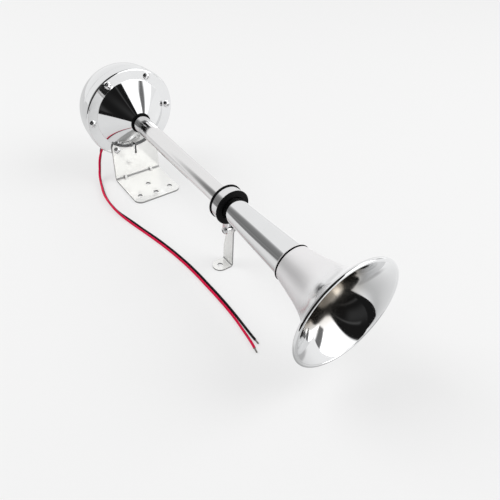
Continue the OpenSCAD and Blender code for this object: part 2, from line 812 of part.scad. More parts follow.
module tuning_screw() {
    color("gray")
    difference() {
        union() {
            place_tuning(tuning_end)
            cylinder(h = tuning_tip - tuning_end, r = tuning_r);
            place_tuning(tuning_end - tuning_head_h)
            cylinder(h = tuning_head_h, r = tuning_head_r);
        }
        place_tuning(tuning_end - tuning_head_h - cut)
        translate([-tuning_head_r - cut, -0.4, 0])
        cube([2 * tuning_head_r + 2 * cut, 0.8, 1 + cut]);
    }
}

module tuning_bush() {
    color("goldenrod")
    difference() {
        union() {
            place_tuning(pan_floor)
            cylinder(h = tuning_bush_len, r = tuning_bush_r);
            place_tuning(pan_back)
            cylinder(h = pan_t, r = tuning_r + 1.15);
        }
        place_tuning(pan_back - cut)
        cylinder(h = pan_t + tuning_bush_len + 2 * cut, r = tuning_r + running_gap);
    }
}

module tuning_locknut() {
    color("gray")
    place_tuning(pan_back - tuning_nut_h)
    hex_nut(tuning_nut_w, tuning_nut_h, tuning_r + running_gap);
}

module rivet_hole(y, back, front, r) {
    translate([back - cut - mid_x, y, axis_h + rivet_at])
    rotate([0, 90, 0])
    cylinder(h = front - back + 2 * cut, r = r);
}

module terminal_strip() {
    color("saddlebrown")
    difference() {
        block([strip_back, -strip_w / 2, strip_bottom], [pan_back, strip_w / 2, strip_top]);
        for (side = [-1, 1])
            for (y = [terminal_y, strip_rivet_y])
                rivet_hole(side * y, strip_back, pan_back, rivet_r + seat_gap);
    }
}

// Flat brass tabs with a lug at the lower end, where a wire is soldered
module terminals() {
    lug_len = 2.4;
    color("gold")
    for (side = [-1, 1])
        difference() {
            union() {
                block([terminal_back, side * terminal_y - terminal_w / 2, strip_bottom + 1],
                    [strip_back, side * terminal_y + terminal_w / 2, strip_top - 1]);
                block([terminal_back - lug_len, side * terminal_y - terminal_w / 2, strip_bottom + 1],
                    [terminal_back, side * terminal_y + terminal_w / 2, strip_bottom + 1 + terminal_t]);
            }
            rivet_hole(side * terminal_y, terminal_back, strip_back, rivet_r + seat_gap);
        }
}

// Rivet with a head at the back and a flattened tail at the front
module rivet(y, back, front) {
    tail_h = 0.8;
    translate([-mid_x, y, axis_h + rivet_at])
    rotate([0, 90, 0]) {
        translate([0, 0, back - rivet_head_h])
        cylinder(h = rivet_head_h, r = rivet_head_r);
        translate([0, 0, back])
        cylinder(h = front - back, r = rivet_r);
        translate([0, 0, front])
        cylinder(h = tail_h, r = rivet_head_r - 0.2);
    }
}

// The inner rivets hold the terminals and clear the pan, the outer ones hold the strip on the pan
module terminal_rivets() {
    color("silver")
    for (side = [-1, 1]) {
        rivet(side * terminal_y, terminal_back, pan_back);
        rivet(side * strip_rivet_y, strip_back, pan_floor);
    }
}

// Wire-wound resistor between the terminals, with its end caps on them
module spark_resistor() {
    color("beige")
    translate([terminal_back - resistor_r - mid_x, 0, axis_h + strip_bottom + 5])
    rotate([90, 0, 0])
    cylinder(h = 2 * terminal_y, r = resistor_r, center = true);
}

module red_lead() {
    color("red")
    tube(inner_route(1, turn_from, red_inside), wire_r);
}

module black_lead() {
    color("black")
    tube(inner_route(-1, turn_from + turn_step, black_inside), wire_r);
}

module wire_grommet() {
    color("black")
    difference() {
        union() {
            difference() {
                radial(grommet_x, grommet_angle)
                translate([0, 0, grommet_in])
                cylinder(h = grommet_out - grommet_in, r = grommet_r);
                dome_shell();
            }
            radial(grommet_x, grommet_angle)
            translate([0, 0, grommet_in])
            cylinder(h = grommet_out - grommet_in, r = grommet_neck_r - seat_gap);
        }
        for (side = [-1, 1])
            radial(grommet_x, grommet_angle)
            translate([side * wire_pitch / 2, 0, grommet_in - cut])
            cylinder(h = grommet_out - grommet_in + 2 * cut, r = wire_r + seat_gap);
    }
}

module red_wire() {
    color("crimson")
    tube(free_route(1, red_floor), wire_r);
}

module black_wire() {
    color("black")
    tube(free_route(-1, black_floor), wire_r);
}

// Bare strands past the end of a route
module bare_end(route) {
    last = route[len(route) - 1];
    before = route[len(route) - 2];
    tube([last, last + bare_len * unit(last - before)], bare_r);
}

module red_wire_end() {
    color("silver")
    bare_end(red_floor);
}

module black_wire_end() {
    color("silver")
    bare_end(black_floor);
}

// The two lower screws hold the rear bracket too
function seat_at(a) = a > 180 ? bracket_t : 0;

module flange_screws() {
    color("silver")
    for (a = screw_angles) {
        around(seat_at(a) + washer_h, a, screw_circle_r)
        pan_head(screw_head_r, screw_head_h);
        around(nut_back - screw_tail, a, screw_circle_r)
        cylinder(h = seat_at(a) + washer_h + head_root - nut_back + screw_tail, r = screw_r);
    }
}

module flange_washers() {
    color("gainsboro")
    for (a = screw_angles)
        around(seat_at(a), a, screw_circle_r)
        difference() {
            cylinder(h = washer_h, r = washer_r);
            translate([0, 0, -cut])
            cylinder(h = washer_h + 2 * cut, r = screw_r + seat_gap);
        }
}

module flange_nuts() {
    color("silver")
    for (a = screw_angles)
        around(nut_back, a, screw_circle_r)
        hex_nut(nut_width, nut_h, screw_r + seat_gap);
}

module throat_seal() {
    color("black")
    ring(cone_len, cone_len + seal_w, seal_r, cone_hole_r);
}

function cone_inside(x) = cone_base_r - cone_slope * x - plate_t * cone_stretch - seat_gap;

module throat_ferrule() {
    color("silver")
    turned([[ferrule_back, cone_hole_r], [ferrule_back, cone_inside(ferrule_back + ferrule_step)],
        [ferrule_back + ferrule_step, cone_inside(ferrule_back + ferrule_step)],
        [ferrule_front, cone_inside(ferrule_front)], [ferrule_front, cone_hole_r]]);
}

module rear_tube() {
    color("lightgray")
    ring(ferrule_back, rear_tube_end, tube_r, tube_r - tube_wall);
}

module front_tube() {
    end = seam_x + insert_len;
    color("lightgray")
    turned([[front_tube_back, neck_r - tube_wall], [front_tube_back, neck_r], [neck_end, neck_r],
        [sleeve_front, front_tube_r], [end, front_tube_at(end)], [end, front_tube_at(end) - tube_wall],
        [sleeve_front, front_tube_r - tube_wall], [neck_end, neck_r - tube_wall]]);
}

module bell() {
    color("whitesmoke")
    along(0)
    rotate_extrude()
    difference() {
        union() {
            polygon(concat(
                [for (i = [0:flare_steps]) [bell_at(bell_station(i)), bell_station(i)]],
                [for (i = [flare_steps:-1:0]) [bell_inside(bell_station(i)), bell_station(i)]]));
            translate([bead_at, bead_x])
            circle(r = bead_r);
            translate([bell_neck_r, seam_x + neck_bead_r])
            intersection() {
                circle(r = neck_bead_r);
                translate([-neck_bead_r / 2, -neck_bead_r])
                square(2 * neck_bead_r);
            }
        }
        translate([bead_at, bead_x])
        circle(r = bead_wire_r);
    }
}

module rim_wire() {
    color("gray")
    along(bead_x)
    rotate_extrude()
    translate([bead_at, 0])
    circle(r = bead_wire_r - seat_gap);
}

module rubber_sleeve() {
    groove_half = band_w / 2 + 0.3;
    color("black")
    turned([[sleeve_back, tube_r + seat_gap], [sleeve_back, sleeve_r - 0.6], [sleeve_back + 0.6, sleeve_r],
        [collar_x - groove_half, sleeve_r], [collar_x - groove_half, groove_r],
        [collar_x + groove_half, groove_r], [collar_x + groove_half, sleeve_r],
        [sleeve_front - 0.8, sleeve_r], [sleeve_front, sleeve_r - 0.8],
        [sleeve_front, front_tube_r + seat_gap], [neck_end, neck_r + seat_gap],
        [front_tube_back - seat_gap, neck_r + seat_gap], [front_tube_back - seat_gap, tube_r + seat_gap]]);
}

// Flat plate across the horn with its outline in station and height, from y up by t
module side_plate(y, t) {
    translate([-mid_x, y + t, 0])
    rotate([90, 0, 0])
    linear_extrude(t)
    children();
}

module clamp_bore(from, to, r) {
    translate([collar_x - mid_x, from, pivot_h])
    rotate([-90, 0, 0])
    cylinder(h = to - from, r = r);
}

module clamp_band() {
    color("silver")
    difference() {
        union() {
            difference() {
                ring(collar_x - band_w / 2, collar_x + band_w / 2, band_r, band_bore_r);
                block([collar_x - band_w, -ear_gap, -2 * band_r], [collar_x + band_w, ear_gap, 0]);
            }
            for (y = [-ear_y, ear_gap])
                side_plate(y, band_t) {
                    translate([collar_x - band_w / 2, pivot_h])
                    square([band_w, axis_h - groove_r - pivot_h + 1]);
                    translate([collar_x, pivot_h])
                    circle(r = ear_r);
                }
        }
        along(collar_x - band_w)
        cylinder(h = 2 * band_w, r = band_bore_r);
        clamp_bore(-ear_y - cut, ear_y + cut, clamp_screw_r + 0.1);
    }
}

module clamp_screw() {
    color("silver") {
        clamp_bore(-ear_y, clamp_screw_end, clamp_screw_r);
        translate([collar_x - mid_x, -ear_y, pivot_h])
        rotate([90, 0, 0])
        pan_head(clamp_head_r, clamp_head_h);
    }
}

module clamp_washer() {
    color("gainsboro")
    difference() {
        clamp_bore(clamp_washer_y, clamp_washer_y + clamp_washer_t, clamp_washer_r);
        clamp_bore(clamp_washer_y - cut, clamp_washer_y + clamp_washer_t + cut, clamp_screw_r + seat_gap);
    }
}

module clamp_nut() {
    color("silver")
    translate([collar_x - mid_x, clamp_nut_y, pivot_h])
    rotate([-90, 0, 0])
    hex_nut(clamp_nut_w, clamp_nut_h, clamp_screw_r + seat_gap);
}

// Quarter bend of a sheet, drawn along +Y with its inner corner at the origin's top right
module bend(length, inner, outer) {
    translate([outer, 0, outer])
    rotate([-90, 0, 0])
    intersection() {
        difference() {
            cylinder(h = length, r = outer);
            translate([0, 0, -cut])
            cylinder(h = length + 2 * cut, r = inner);
        }
        translate([-outer, 0, 0])
        cube([outer, outer, length]);
    }
}

// Upright outline: sideways and height
module upright_outline() {
    difference() {
        union() {
            translate([-bracket_w / 2, bend_out])
            square([bracket_w, ear_lobe_z - bend_out]);
            for (side = [-1, 1])
                translate([side * (bracket_w / 2 - ear_lobe_r), ear_lobe_z])
                circle(r = ear_lobe_r);
        }
        translate([0, axis_h])
        circle(r = cone_base_r + arc_gap);
        translate([0, axis_h - cone_base_r - arc_gap - slot_len + slot_w / 2]) {
            circle(r = slot_w / 2);
            translate([-slot_w / 2, 0])
            square([slot_w, slot_len + slot_w]);
        }
    }
}

module rear_bracket() {
    color("whitesmoke") {
        difference() {
            translate([-mid_x, 0, 0])
            rotate([90, 0, 90])
            linear_extrude(bracket_t)
            upright_outline();
            for (a = [240, 300])
                around(-cut, a, screw_circle_r)
                cylinder(h = bracket_t + 2 * cut, r = screw_r + hole_gap);
        }
        translate([-mid_x, -bracket_w / 2, 0])
        bend(bracket_w, bend_in, bend_out);
        translate([-mid_x, 0, 0])
        linear_extrude(bracket_t)
        difference() {
            union() {
                translate([bend_out, -bracket_w / 2])
                square([foot_len - foot_corner - bend_out, bracket_w]);
                translate([bend_out, -bracket_w / 2 + foot_corner])
                square([foot_len - bend_out, bracket_w - 2 * foot_corner]);
                for (side = [-1, 1])
                    translate([foot_len - foot_corner, side * (bracket_w / 2 - foot_corner)])
                    circle(r = foot_corner);
            }
            for (p = [[rear_hole_x, 0], [front_hole_x, 0], [side_holes_x, -side_holes_gap / 2],
                [side_holes_x, side_holes_gap / 2]])
                translate(p)
                circle(r = foot_hole_r);
        }
        for (side = [-1, 1])
            side_plate(side * dimple_y - dimple_w / 2, dimple_w)
            polygon([[bracket_t / 2, bracket_t / 2], [bracket_t + dimple_size, bracket_t / 2],
                [bracket_t + dimple_size, bracket_t], [bracket_t, bracket_t + dimple_size],
                [bracket_t / 2, bracket_t + dimple_size]]);
    }
}

module front_bracket() {
    low_x = front_foot_x - tab_w / 2;
    high_x = front_foot_x + tab_w / 2;
    color("whitesmoke") {
        difference() {
            side_plate(tab_front_y, tab_t) {
                polygon([[low_x, tab_bend_out], [high_x, tab_bend_out], [high_x, pivot_h - 6],
                    [collar_x + tab_top_r, pivot_h], [collar_x - tab_top_r, pivot_h],
                    [low_x + tab_taper, pivot_h - 15], [low_x, tab_shoulder_h]]);
                translate([collar_x, pivot_h])
                circle(r = tab_top_r);
            }
            clamp_bore(tab_front_y - cut, tab_back_y + cut, clamp_screw_r + running_gap);
        }
        translate([low_x - mid_x, tab_back_y, 0])
        rotate([0, 0, -90])
        bend(tab_w, tab_bend_in, tab_bend_out);
        translate([front_foot_x - mid_x, -front_foot_side, 0])
        linear_extrude(tab_t)
        difference() {
            union() {
                circle(r = tab_w / 2);
                translate([-tab_w / 2, 0])
                square([tab_w, front_foot_side + tab_back_y - tab_bend_out]);
            }
            circle(r = foot_hole_r);
        }
    }
}

dome_cover();
rear_housing();
front_plate();
front_gasket();
diaphragm();
rear_gasket();
inner_pan();
magnet_pot();
pole_core();
pole_nut();
coil_bobbin();
coil_winding();
coil_leads();
armature();
armature_stud();
diaphragm_washers();
armature_nut();
pusher_pin();
breaker_post();
leaf_root();
contact_arm();
moving_contact();
leaf_insulator();
fixed_contact_arm();
fixed_contact();
breaker_screws();
breaker_lead();
tuning_screw();
tuning_bush();
tuning_locknut();
terminal_strip();
terminals();
terminal_rivets();
spark_resistor();
red_lead();
black_lead();
wire_grommet();
red_wire();
black_wire();
red_wire_end();
black_wire_end();
flange_screws();
flange_washers();
flange_nuts();
throat_seal();
throat_ferrule();
rear_tube();
front_tube();
bell();
rim_wire();
rubber_sleeve();
clamp_band();
clamp_screw();
clamp_washer();
clamp_nut();
rear_bracket();
front_bracket();
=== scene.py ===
import json
from math import atan, atan2, cos, degrees, hypot, pi, radians, sin, sqrt

import bmesh
import bpy
from mathutils import Matrix, Vector


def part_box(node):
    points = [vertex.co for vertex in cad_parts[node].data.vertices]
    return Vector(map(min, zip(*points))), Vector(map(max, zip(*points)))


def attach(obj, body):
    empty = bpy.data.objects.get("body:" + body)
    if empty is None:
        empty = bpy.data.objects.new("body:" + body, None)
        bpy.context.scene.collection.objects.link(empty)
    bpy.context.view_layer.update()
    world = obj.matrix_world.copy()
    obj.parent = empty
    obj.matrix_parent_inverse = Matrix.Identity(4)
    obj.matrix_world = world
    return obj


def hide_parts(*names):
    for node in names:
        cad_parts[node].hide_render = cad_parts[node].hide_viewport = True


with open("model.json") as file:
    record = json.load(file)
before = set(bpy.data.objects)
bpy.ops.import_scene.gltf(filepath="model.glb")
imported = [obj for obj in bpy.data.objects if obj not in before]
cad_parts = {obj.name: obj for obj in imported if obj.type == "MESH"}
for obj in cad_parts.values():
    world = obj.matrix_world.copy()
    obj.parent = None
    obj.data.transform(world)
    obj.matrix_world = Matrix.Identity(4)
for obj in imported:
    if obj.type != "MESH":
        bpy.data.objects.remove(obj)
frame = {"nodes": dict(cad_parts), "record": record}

bl_info = {
    "name": "Electric Trumpet Horn",
    "version": (1, 0, 0),
    "blender": (4, 5, 0),
    "location": "3D View > Sidebar > Horn",
    "description": "Models and finishes a boat's electric trumpet horn round its packed CAD frame",
    "category": "Add Mesh",
}

MM = 0.001
FLANGE_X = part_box("rear_bracket")[0].x
AXIS_Z = (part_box("bell")[0].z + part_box("bell")[1].z) / 2
COLLAR_X = (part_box("clamp_band")[0].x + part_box("clamp_band")[1].x) / 2
PIVOT_Z = (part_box("clamp_washer")[0].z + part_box("clamp_washer")[1].z) / 2
COLLAR = (COLLAR_X - FLANGE_X) / MM
BELL_EDGE = (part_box("bell")[1].x - FLANGE_X) / MM
RIM_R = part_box("bell")[1].y / MM
FLANGE_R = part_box("front_plate")[1].y / MM
DOME_BACK = (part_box("dome_cover")[0].x - FLANGE_X) / MM
# Millimetres; a station is a distance ahead of the flange
CONE_END, SEAM = 22.0, 283.0
SLIP = 0.05
NECK_BEAD, NECK_GROOVE = 0.85, 0.6
DIMPLE_Y, DIMPLE_REACH = 16.5, 1.7
# Degrees by which the recesses of the six flange screws are turned
RECESS_TURNS = (18, 64, 41, 7, 75, 33)

# Points of the wires' routes in millimetres, as in part.scad
RED_ROUTE = (
    (-20.65, -28.351, 36.968), (-20.65, -31.147, 32.822), (-20.2, -34.9, 25.8), (-18.6, -37.7, 18.2),
    (-15.6, -39.8, 12.2), (-10.6, -42.8, 7.6), (-3, -45.6, 4.8), (7.6, -48.8, 3.7), (18.6, -52, 3.7),
    (31, -54, 3.7), (43.6, -54.6, 3.6), (55.4, -54.2, 3), (68, -52.3, 2.2), (80.6, -49.4, 1.3),
    (94, -46.4, 1.2), (108, -43.2, 1.2), (121, -40.4, 1.2), (133.4, -38, 1.2), (145.8, -36, 1.2),
    (158, -34.4, 1.2), (168.4, -33.3, 1.2), (179.4, -32.5, 1.2), (190, -32, 1.2), (199.6, -31.8, 1.2),
    (209, -31.6, 1.2), (219, -31.4, 1.2), (228, -31.4, 1.2), (237, -31.5, 1.2), (245.6, -31.8, 1.2),
    (254, -32.3, 1.2), (262, -33.1, 1.2), (270, -34, 1.2), (277.6, -34.9, 1.2), (284.6, -35.9, 1.2),
    (290, -37, 1.2),
)
BLACK_ROUTE = (
    (-23.35, -28.351, 36.968), (-23.35, -31.147, 32.822), (-22.1, -33.6, 24.8), (-20.6, -36.3, 17),
    (-17.3, -38.7, 10.3), (-11.8, -41.9, 5.2), (-3.6, -44.8, 2.2), (7.4, -47.9, 1.3), (18.8, -50.8, 1.2),
    (31.2, -52.7, 1.2), (43.8, -53.1, 1.2), (55.8, -52.3, 1.2), (68.8, -49.6, 1.2), (81.4, -46.6, 1.2),
    (94.8, -43.8, 1.2), (108.8, -40.5, 1.2), (121.8, -37.6, 1.2), (134, -35.4, 1.2), (146.2, -33.4, 1.2),
    (158.4, -31.8, 1.2), (168.6, -30.7, 1.2), (179.6, -29.9, 1.2), (190, -29.4, 1.2),
    (199.6, -29.2, 1.2), (209, -29, 1.2), (219, -28.8, 1.2), (228, -28.8, 1.2), (237, -28.9, 1.2),
    (245.4, -29.2, 1.2), (254, -29.6, 1.2), (262, -30.1, 1.2), (270, -30.6, 1.2), (277, -31, 1.2),
    (283, -31.2, 1.2),
)


# Sizes and colours that a user would change

def size(name, description, default, digits=4):
    return bpy.props.FloatProperty(
        name=name, description=description, default=default, unit="LENGTH", precision=digits)


def tone(name, description, default):
    return bpy.props.FloatVectorProperty(
        name=name, description=description, default=default, subtype="COLOR", min=0, max=1)


class HornSizes(bpy.types.PropertyGroup):
    """Sizes of the horn's visible pieces"""

    tube_radius: size("Rear Tube Radius", "Outside radius of the straight rear tube", 9.3 * MM)
    bell_wall: size("Bell Wall", "Thickness of the bell's sheet", 0.8 * MM)
    bead_radius: size("Bead Radius", "Radius of the rolled bead round the bell's rim", 1.7 * MM)
    rim_round: size("Flange Rim", "Radius of the front plate's rounded rim", 1.8 * MM)
    screw_circle: size("Screw Circle", "Radius of the circle of flange screws", 44.5 * MM)
    wire_radius: size("Wire Radius", "Radius of each wire over its insulation", 1.2 * MM)
    edge_softness: size("Edge Softness", "Width of the worn bevel on the brackets' sheared edges",
                        0.25 * MM, digits=5)


class HornFinish(bpy.types.PropertyGroup):
    """Colours of the horn's visible pieces"""

    chrome: tone("Polished Steel", "Colour of the mirror-polished pieces", (0.755, 0.76, 0.765))
    red: tone("Red Wire", "Colour of the red wire's insulation", (0.7, 0.004, 0.06))
    black: tone("Black Wire", "Colour of the black wire's insulation", (0.006, 0.006, 0.0065))
    rubber: tone("Rubber", "Colour of the sleeve, the seal and the grommet", (0.005, 0.005, 0.0053))
    paper: tone("Paper", "Colour of the floor and of the studio round it", (0.872, 0.872, 0.872))


# Shapes

def arc(station, radius, size, start, end, steps):
    """Points on an arc round one point of an outline, in degrees from the horn's axis direction."""
    turns = [radians(start + (end - start) * i / steps) for i in range(steps + 1)]
    return [(station + size * cos(a), radius + size * sin(a)) for a in turns]


def as_mesh(name, bm):
    """Mesh of a bmesh, which is freed."""
    mesh = bpy.data.meshes.new(name)
    bm.to_mesh(mesh)
    bm.free()
    return mesh


def spun(points, centre, axis, steps):
    """Bmesh of a closed outline, spun once round an axis."""
    bm = bmesh.new()
    verts = [bm.verts.new(point) for point in points]
    edges = [bm.edges.new(pair) for pair in zip(verts, verts[1:] + verts[:1])]
    bmesh.ops.spin(bm, geom=verts + edges, cent=centre, axis=axis, angle=2 * pi, steps=steps, use_merge=True)
    bmesh.ops.remove_doubles(bm, verts=bm.verts, dist=1e-7)
    bmesh.ops.recalc_face_normals(bm, faces=bm.faces)
    return bm


def turned_mesh(name, outline, steps=48):
    """Mesh of an outline of (height, radius) points in millimetres, spun round +Z at the origin."""
    return as_mesh(name, spun([(r * MM, 0, h * MM) for h, r in outline], (0, 0, 0), (0, 0, 1), steps))


def make_object(name, data):
    shape = bpy.data.objects.new(name, data)
    bpy.context.scene.collection.objects.link(shape)
    return shape


def make_piece(name, bm, body, slot, *nodes, crease=30):
    """Turns a bmesh into a finished piece that rides on a body and stands for some CAD nodes."""
    mesh = as_mesh(name, bm)
    mesh.shade_smooth()
    mesh.set_sharp_from_angle(angle=radians(crease))
    shape = make_object(name, mesh)
    mesh.materials.append(finish(slot))
    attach(shape, body)
    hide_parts(*nodes)
    return shape


def turned_piece(name, outline, steps, slot, node, crease=30):
    """A piece spun round the horn's axis from an outline of (station, radius) points in millimetres."""
    points = [(FLANGE_X + x * MM, 0, AXIS_Z + r * MM) for x, r in outline]
    bm = spun(points, (0, 0, AXIS_Z), (1, 0, 0), steps)
    return make_piece(name, bm, "horn", slot, node, crease=crease)


def shoulder(edge, rim, size, ahead, steps):
    """Rounded shoulder of a turned piece, where the end that looks ahead or back meets the rim."""
    if ahead:
        return arc(edge - size, rim - size, size, 90, 0, steps)
    return arc(edge + size, rim - size, size, 180, 90, steps)


def gathered(parts):
    """One bmesh of several meshes, each moved by its own matrix."""
    bm = bmesh.new()
    for mesh, place in parts:
        start = len(bm.verts)
        bm.from_mesh(mesh)
        bm.verts.ensure_lookup_table()
        bmesh.ops.transform(bm, matrix=place, verts=bm.verts[start:])
    return bm


def creases(bm, angle):
    """Edges of a bmesh whose two faces meet at more than an angle."""
    return [e for e in bm.edges if len(e.link_faces) == 2 and e.calc_face_angle() > radians(angle)]


def bevel(bm, geom, width, segments=2, affect="EDGES"):
    bmesh.ops.bevel(bm, geom=geom, offset=width, offset_type="OFFSET", segments=segments, profile=0.5,
                    affect=affect, clamp_overlap=True, material=-1)


def soft_copy(node, softness):
    """Bmesh of a CAD node with its doubles merged, its flats joined and its sharp edges bevelled."""
    bm = bmesh.new()
    bm.from_mesh(frame["nodes"][node].data)
    bmesh.ops.remove_doubles(bm, verts=bm.verts, dist=1e-6)
    bmesh.ops.dissolve_limit(bm, angle_limit=radians(0.5), verts=bm.verts, edges=bm.edges)
    bevel(bm, creases(bm, 35), softness)
    bmesh.ops.dissolve_degenerate(bm, dist=1e-8, edges=bm.edges)
    return bm


def even_shading(piece):
    """Shade flat faces flat, so that only the narrow bevels turn."""
    weighted = piece.modifiers.new("Even Shading", "WEIGHTED_NORMAL")
    weighted.keep_sharp = True
    weighted.weight = 100


def carved(blank, cutter):
    """Mesh of a blank with a cutter's shape taken out of it; both helpers are removed."""
    carving = blank.modifiers.new("Carving", "BOOLEAN")
    carving.operation = "DIFFERENCE"
    carving.solver = "EXACT"
    carving.object = cutter
    bpy.context.view_layer.update()
    mesh = bpy.data.meshes.new_from_object(blank.evaluated_get(bpy.context.evaluated_depsgraph_get()))
    bpy.data.objects.remove(blank)
    bpy.data.objects.remove(cutter)
    return mesh


def screw_head(name, radius, height, shank_radius, shank_length):
    """Mesh of a pan-head screw with a tapered cross recess, drawn up from its seat at the origin."""
    root, point, side, fullness = 0.25, 0.35, 0.36, 0.55
    outline = [(-shank_length, 0), (-shank_length, shank_radius - point),
               (point - shank_length, shank_radius), (0, shank_radius)] + shoulder(0, radius, root, False, 3)
    crown = [radians(a) for a in range(6, 90, 7)]
    outline += [(height * (side + (1 - side) * sin(a)), radius * cos(a) ** fullness) for a in crown]
    outline.append((height, 0))
    blank = make_object(name + "_blank", turned_mesh(name + "_blank", outline))
    arm, half, depth, above = radius * 0.56, radius * 0.12, height * 0.62, 0.2
    narrow, slim = 0.62, 0.8
    bm = bmesh.new()
    corners = [(arm, -half), (arm, half), (half, half)]
    for _ in range(3):
        corners += [(-y, x) for x, y in corners[-3:]]
    floor = bm.faces.new([bm.verts.new((x * narrow * MM, y * slim * MM, (height - depth) * MM))
                          for x, y in corners])
    risen = bmesh.ops.extrude_face_region(bm, geom=[floor])["geom"]
    top = [v for v in risen if isinstance(v, bmesh.types.BMVert)]
    bmesh.ops.scale(bm, vec=(1 / narrow, 1 / slim, 1), verts=top)
    bmesh.ops.translate(bm, vec=(0, 0, (depth + above) * MM), verts=top)
    bmesh.ops.recalc_face_normals(bm, faces=bm.faces)
    return carved(blank, make_object(name + "_recess", as_mesh(name + "_recess", bm)))


def washer_mesh(name, radius, bore, height):
    edge = 0.16
    return turned_mesh(name, [
        (0, bore), (0, radius - edge), (edge, radius), (height - edge, radius), (height, radius - edge),
        (height, bore + edge), (height - edge, bore)], steps=64)


# Finishes

class NodeTree:
    """A tree whose shader nodes are added one at a time."""

    def __init__(self, tree):
        self.tree = tree

    def add(self, kind, values=None, **settings):
        node = self.tree.nodes.new("ShaderNode" + kind)
        for setting, value in settings.items():
            setattr(node, setting, value)
        for socket, value in (values or {}).items():
            if isinstance(value, bpy.types.NodeSocket):
                self.tree.links.new(value, node.inputs[socket])
            else:
                node.inputs[socket].default_value = value
        return node

    def math(self, operation, first, second=0.0):
        return self.add("Math", {0: first, 1: second}, operation=operation).outputs[0]

    def plus(self, first, second):
        return self.math("ADD", first, second)

    def times(self, first, second):
        return self.math("MULTIPLY", first, second)

    def mixed(self, share, first, second):
        """Two shaders mixed by a share of the second."""
        return self.add("MixShader", {0: share, 1: first.outputs[0], 2: second.outputs[0]})

    def seen_rays(self):
        """1 for the rays that show the background: the camera's, mirrored and through glass."""
        rays = self.add("LightPath").outputs
        return self.math("MAXIMUM", self.math("MAXIMUM", rays["Is Camera Ray"], rays["Is Glossy Ray"]),
                         rays["Is Transmission Ray"])

    def mirrored_rays(self):
        """1 for the rays that a mirror sends on."""
        return self.add("LightPath").outputs["Is Glossy Ray"]


class Finish(NodeTree):
    """A material; its sockets are set by name, with underscores for spaces."""

    def __init__(self, name="finish", **sockets):
        self.material = bpy.data.materials.new(name)
        self.material.use_nodes = True
        super().__init__(self.material.node_tree)
        self.shader = self.tree.nodes["Principled BSDF"]
        for socket, value in sockets.items():
            self.shader.inputs[socket.replace("_", " ")].default_value = value

    def mark(self, name):
        """A value that the mesh carries."""
        return self.add("Attribute", attribute_name=name).outputs["Fac"]

    def place(self, scale=(1, 1, 1), shift=(0, 0, 0)):
        """Object coordinates, moved and then stretched."""
        here = self.add("TexCoord").outputs["Object"]
        moved = self.add("VectorMath", {0: here, 1: shift}, operation="ADD").outputs[0]
        return self.add("VectorMath", {0: moved, 1: scale}, operation="MULTIPLY").outputs[0]

    def round_axis(self, along, outwards, turn):
        """Coordinates that follow a turned piece: along the horn, out from its axis and round it."""
        split = self.add("SeparateXYZ", {0: self.place(shift=(0, 0, -AXIS_Z))}).outputs
        squares = [self.math("POWER", value, 2.0) for value in (split[1], split[2])]
        radius = self.math("SQRT", self.plus(*squares))
        angle = self.math("ARCTAN2", split[2], split[1])
        return self.add("CombineXYZ", {0: self.times(split[0], along), 1: self.times(radius, outwards),
                                       2: self.times(angle, turn)}).outputs[0]

    def noise(self, scale, detail=2.0, roughness=0.5, where=None):
        return self.add("TexNoise", {"Vector": where or self.place(), "Scale": scale, "Detail": detail,
                                     "Roughness": roughness}).outputs["Fac"]

    def spread(self, value, low=0.0, high=1.0, start=0.3, end=0.7):
        """A noise value spread between two numbers."""
        return self.add("MapRange", {"Value": value, "From Min": start, "From Max": end,
                                     "To Min": low, "To Max": high}).outputs[0]

    def blend(self, share, under, over):
        """A colour laid by a share over another one, which may be a node's."""
        under = under if isinstance(under, bpy.types.NodeSocket) else (*under, 1)
        return self.add("Mix", {0: share, 6: under, 7: (*over, 1)}, data_type="RGBA").outputs[2]

    def waves(self, axis, pitch):
        """A wave from -1 to 1 along one axis of the object."""
        along = self.add("SeparateXYZ", {0: self.place()}).outputs[axis]
        return self.math("SINE", self.times(along, 2 * pi / pitch))

    def surface(self, colour, rough, height=None, strength=0.0, distance=0.0, **more):
        """The material, with its colour, roughness and bumps linked."""
        if height:
            more["Normal"] = self.add("Bump", {"Height": height, "Strength": strength,
                                               "Distance": distance}).outputs[0]
        for socket, output in {"Base Color": colour, "Roughness": rough, **more}.items():
            self.tree.links.new(output, self.shader.inputs[socket])
        return self.material

    def show(self, shader):
        """Put another shader in place of the usual one."""
        self.tree.nodes.remove(self.shader)
        self.tree.links.new(shader.outputs[0], self.tree.nodes["Material Output"].inputs[0])
        return self.material


def darker(colour, share):
    return tuple(c * share for c in colour)


def polished_steel():
    """Mirror polish with faint rings from the wheel; duller in the bell's throat, with painted shade there,
    duller on the bell's outside neck, with painted light there, and dark in its joint.
    """
    colour = chosen("chrome")
    steel = Finish(Metallic=1.0)
    rings = steel.noise(1.0, 3.0, where=steel.round_axis(1600, 1600, 0.6))
    haze = steel.noise(70.0, 3.0)
    rough = steel.plus(steel.spread(rings, 0.022, 0.05), steel.spread(haze, 0.0, 0.022))
    throat, joint, buffed_painted_light = [steel.mark(name) for name in ("throat", "joint", "buffed_painted_light")]
    for place, duller in ((throat, 0.13), (buffed_painted_light, 0.42), (joint, 0.35)):
        rough = steel.plus(rough, steel.times(place, duller))
    shade = steel.blend(haze, colour, darker(colour, 0.955))
    # Painted light: the duller outside neck of the bell is made lighter where it mirrors the dark side card.
    shade = steel.blend(buffed_painted_light, shade, (0.85, 0.84, 0.845))
    # Painted shade: deep in the throat the colour turns darker and warmer, dimming the light mirrored there.
    shade = steel.blend(throat, shade, (0.49, 0.46, 0.42))
    shade = steel.blend(joint, shade, (0.03, 0.03, 0.03))
    return steel.surface(shade, rough, rings, 0.02, 0.00002)


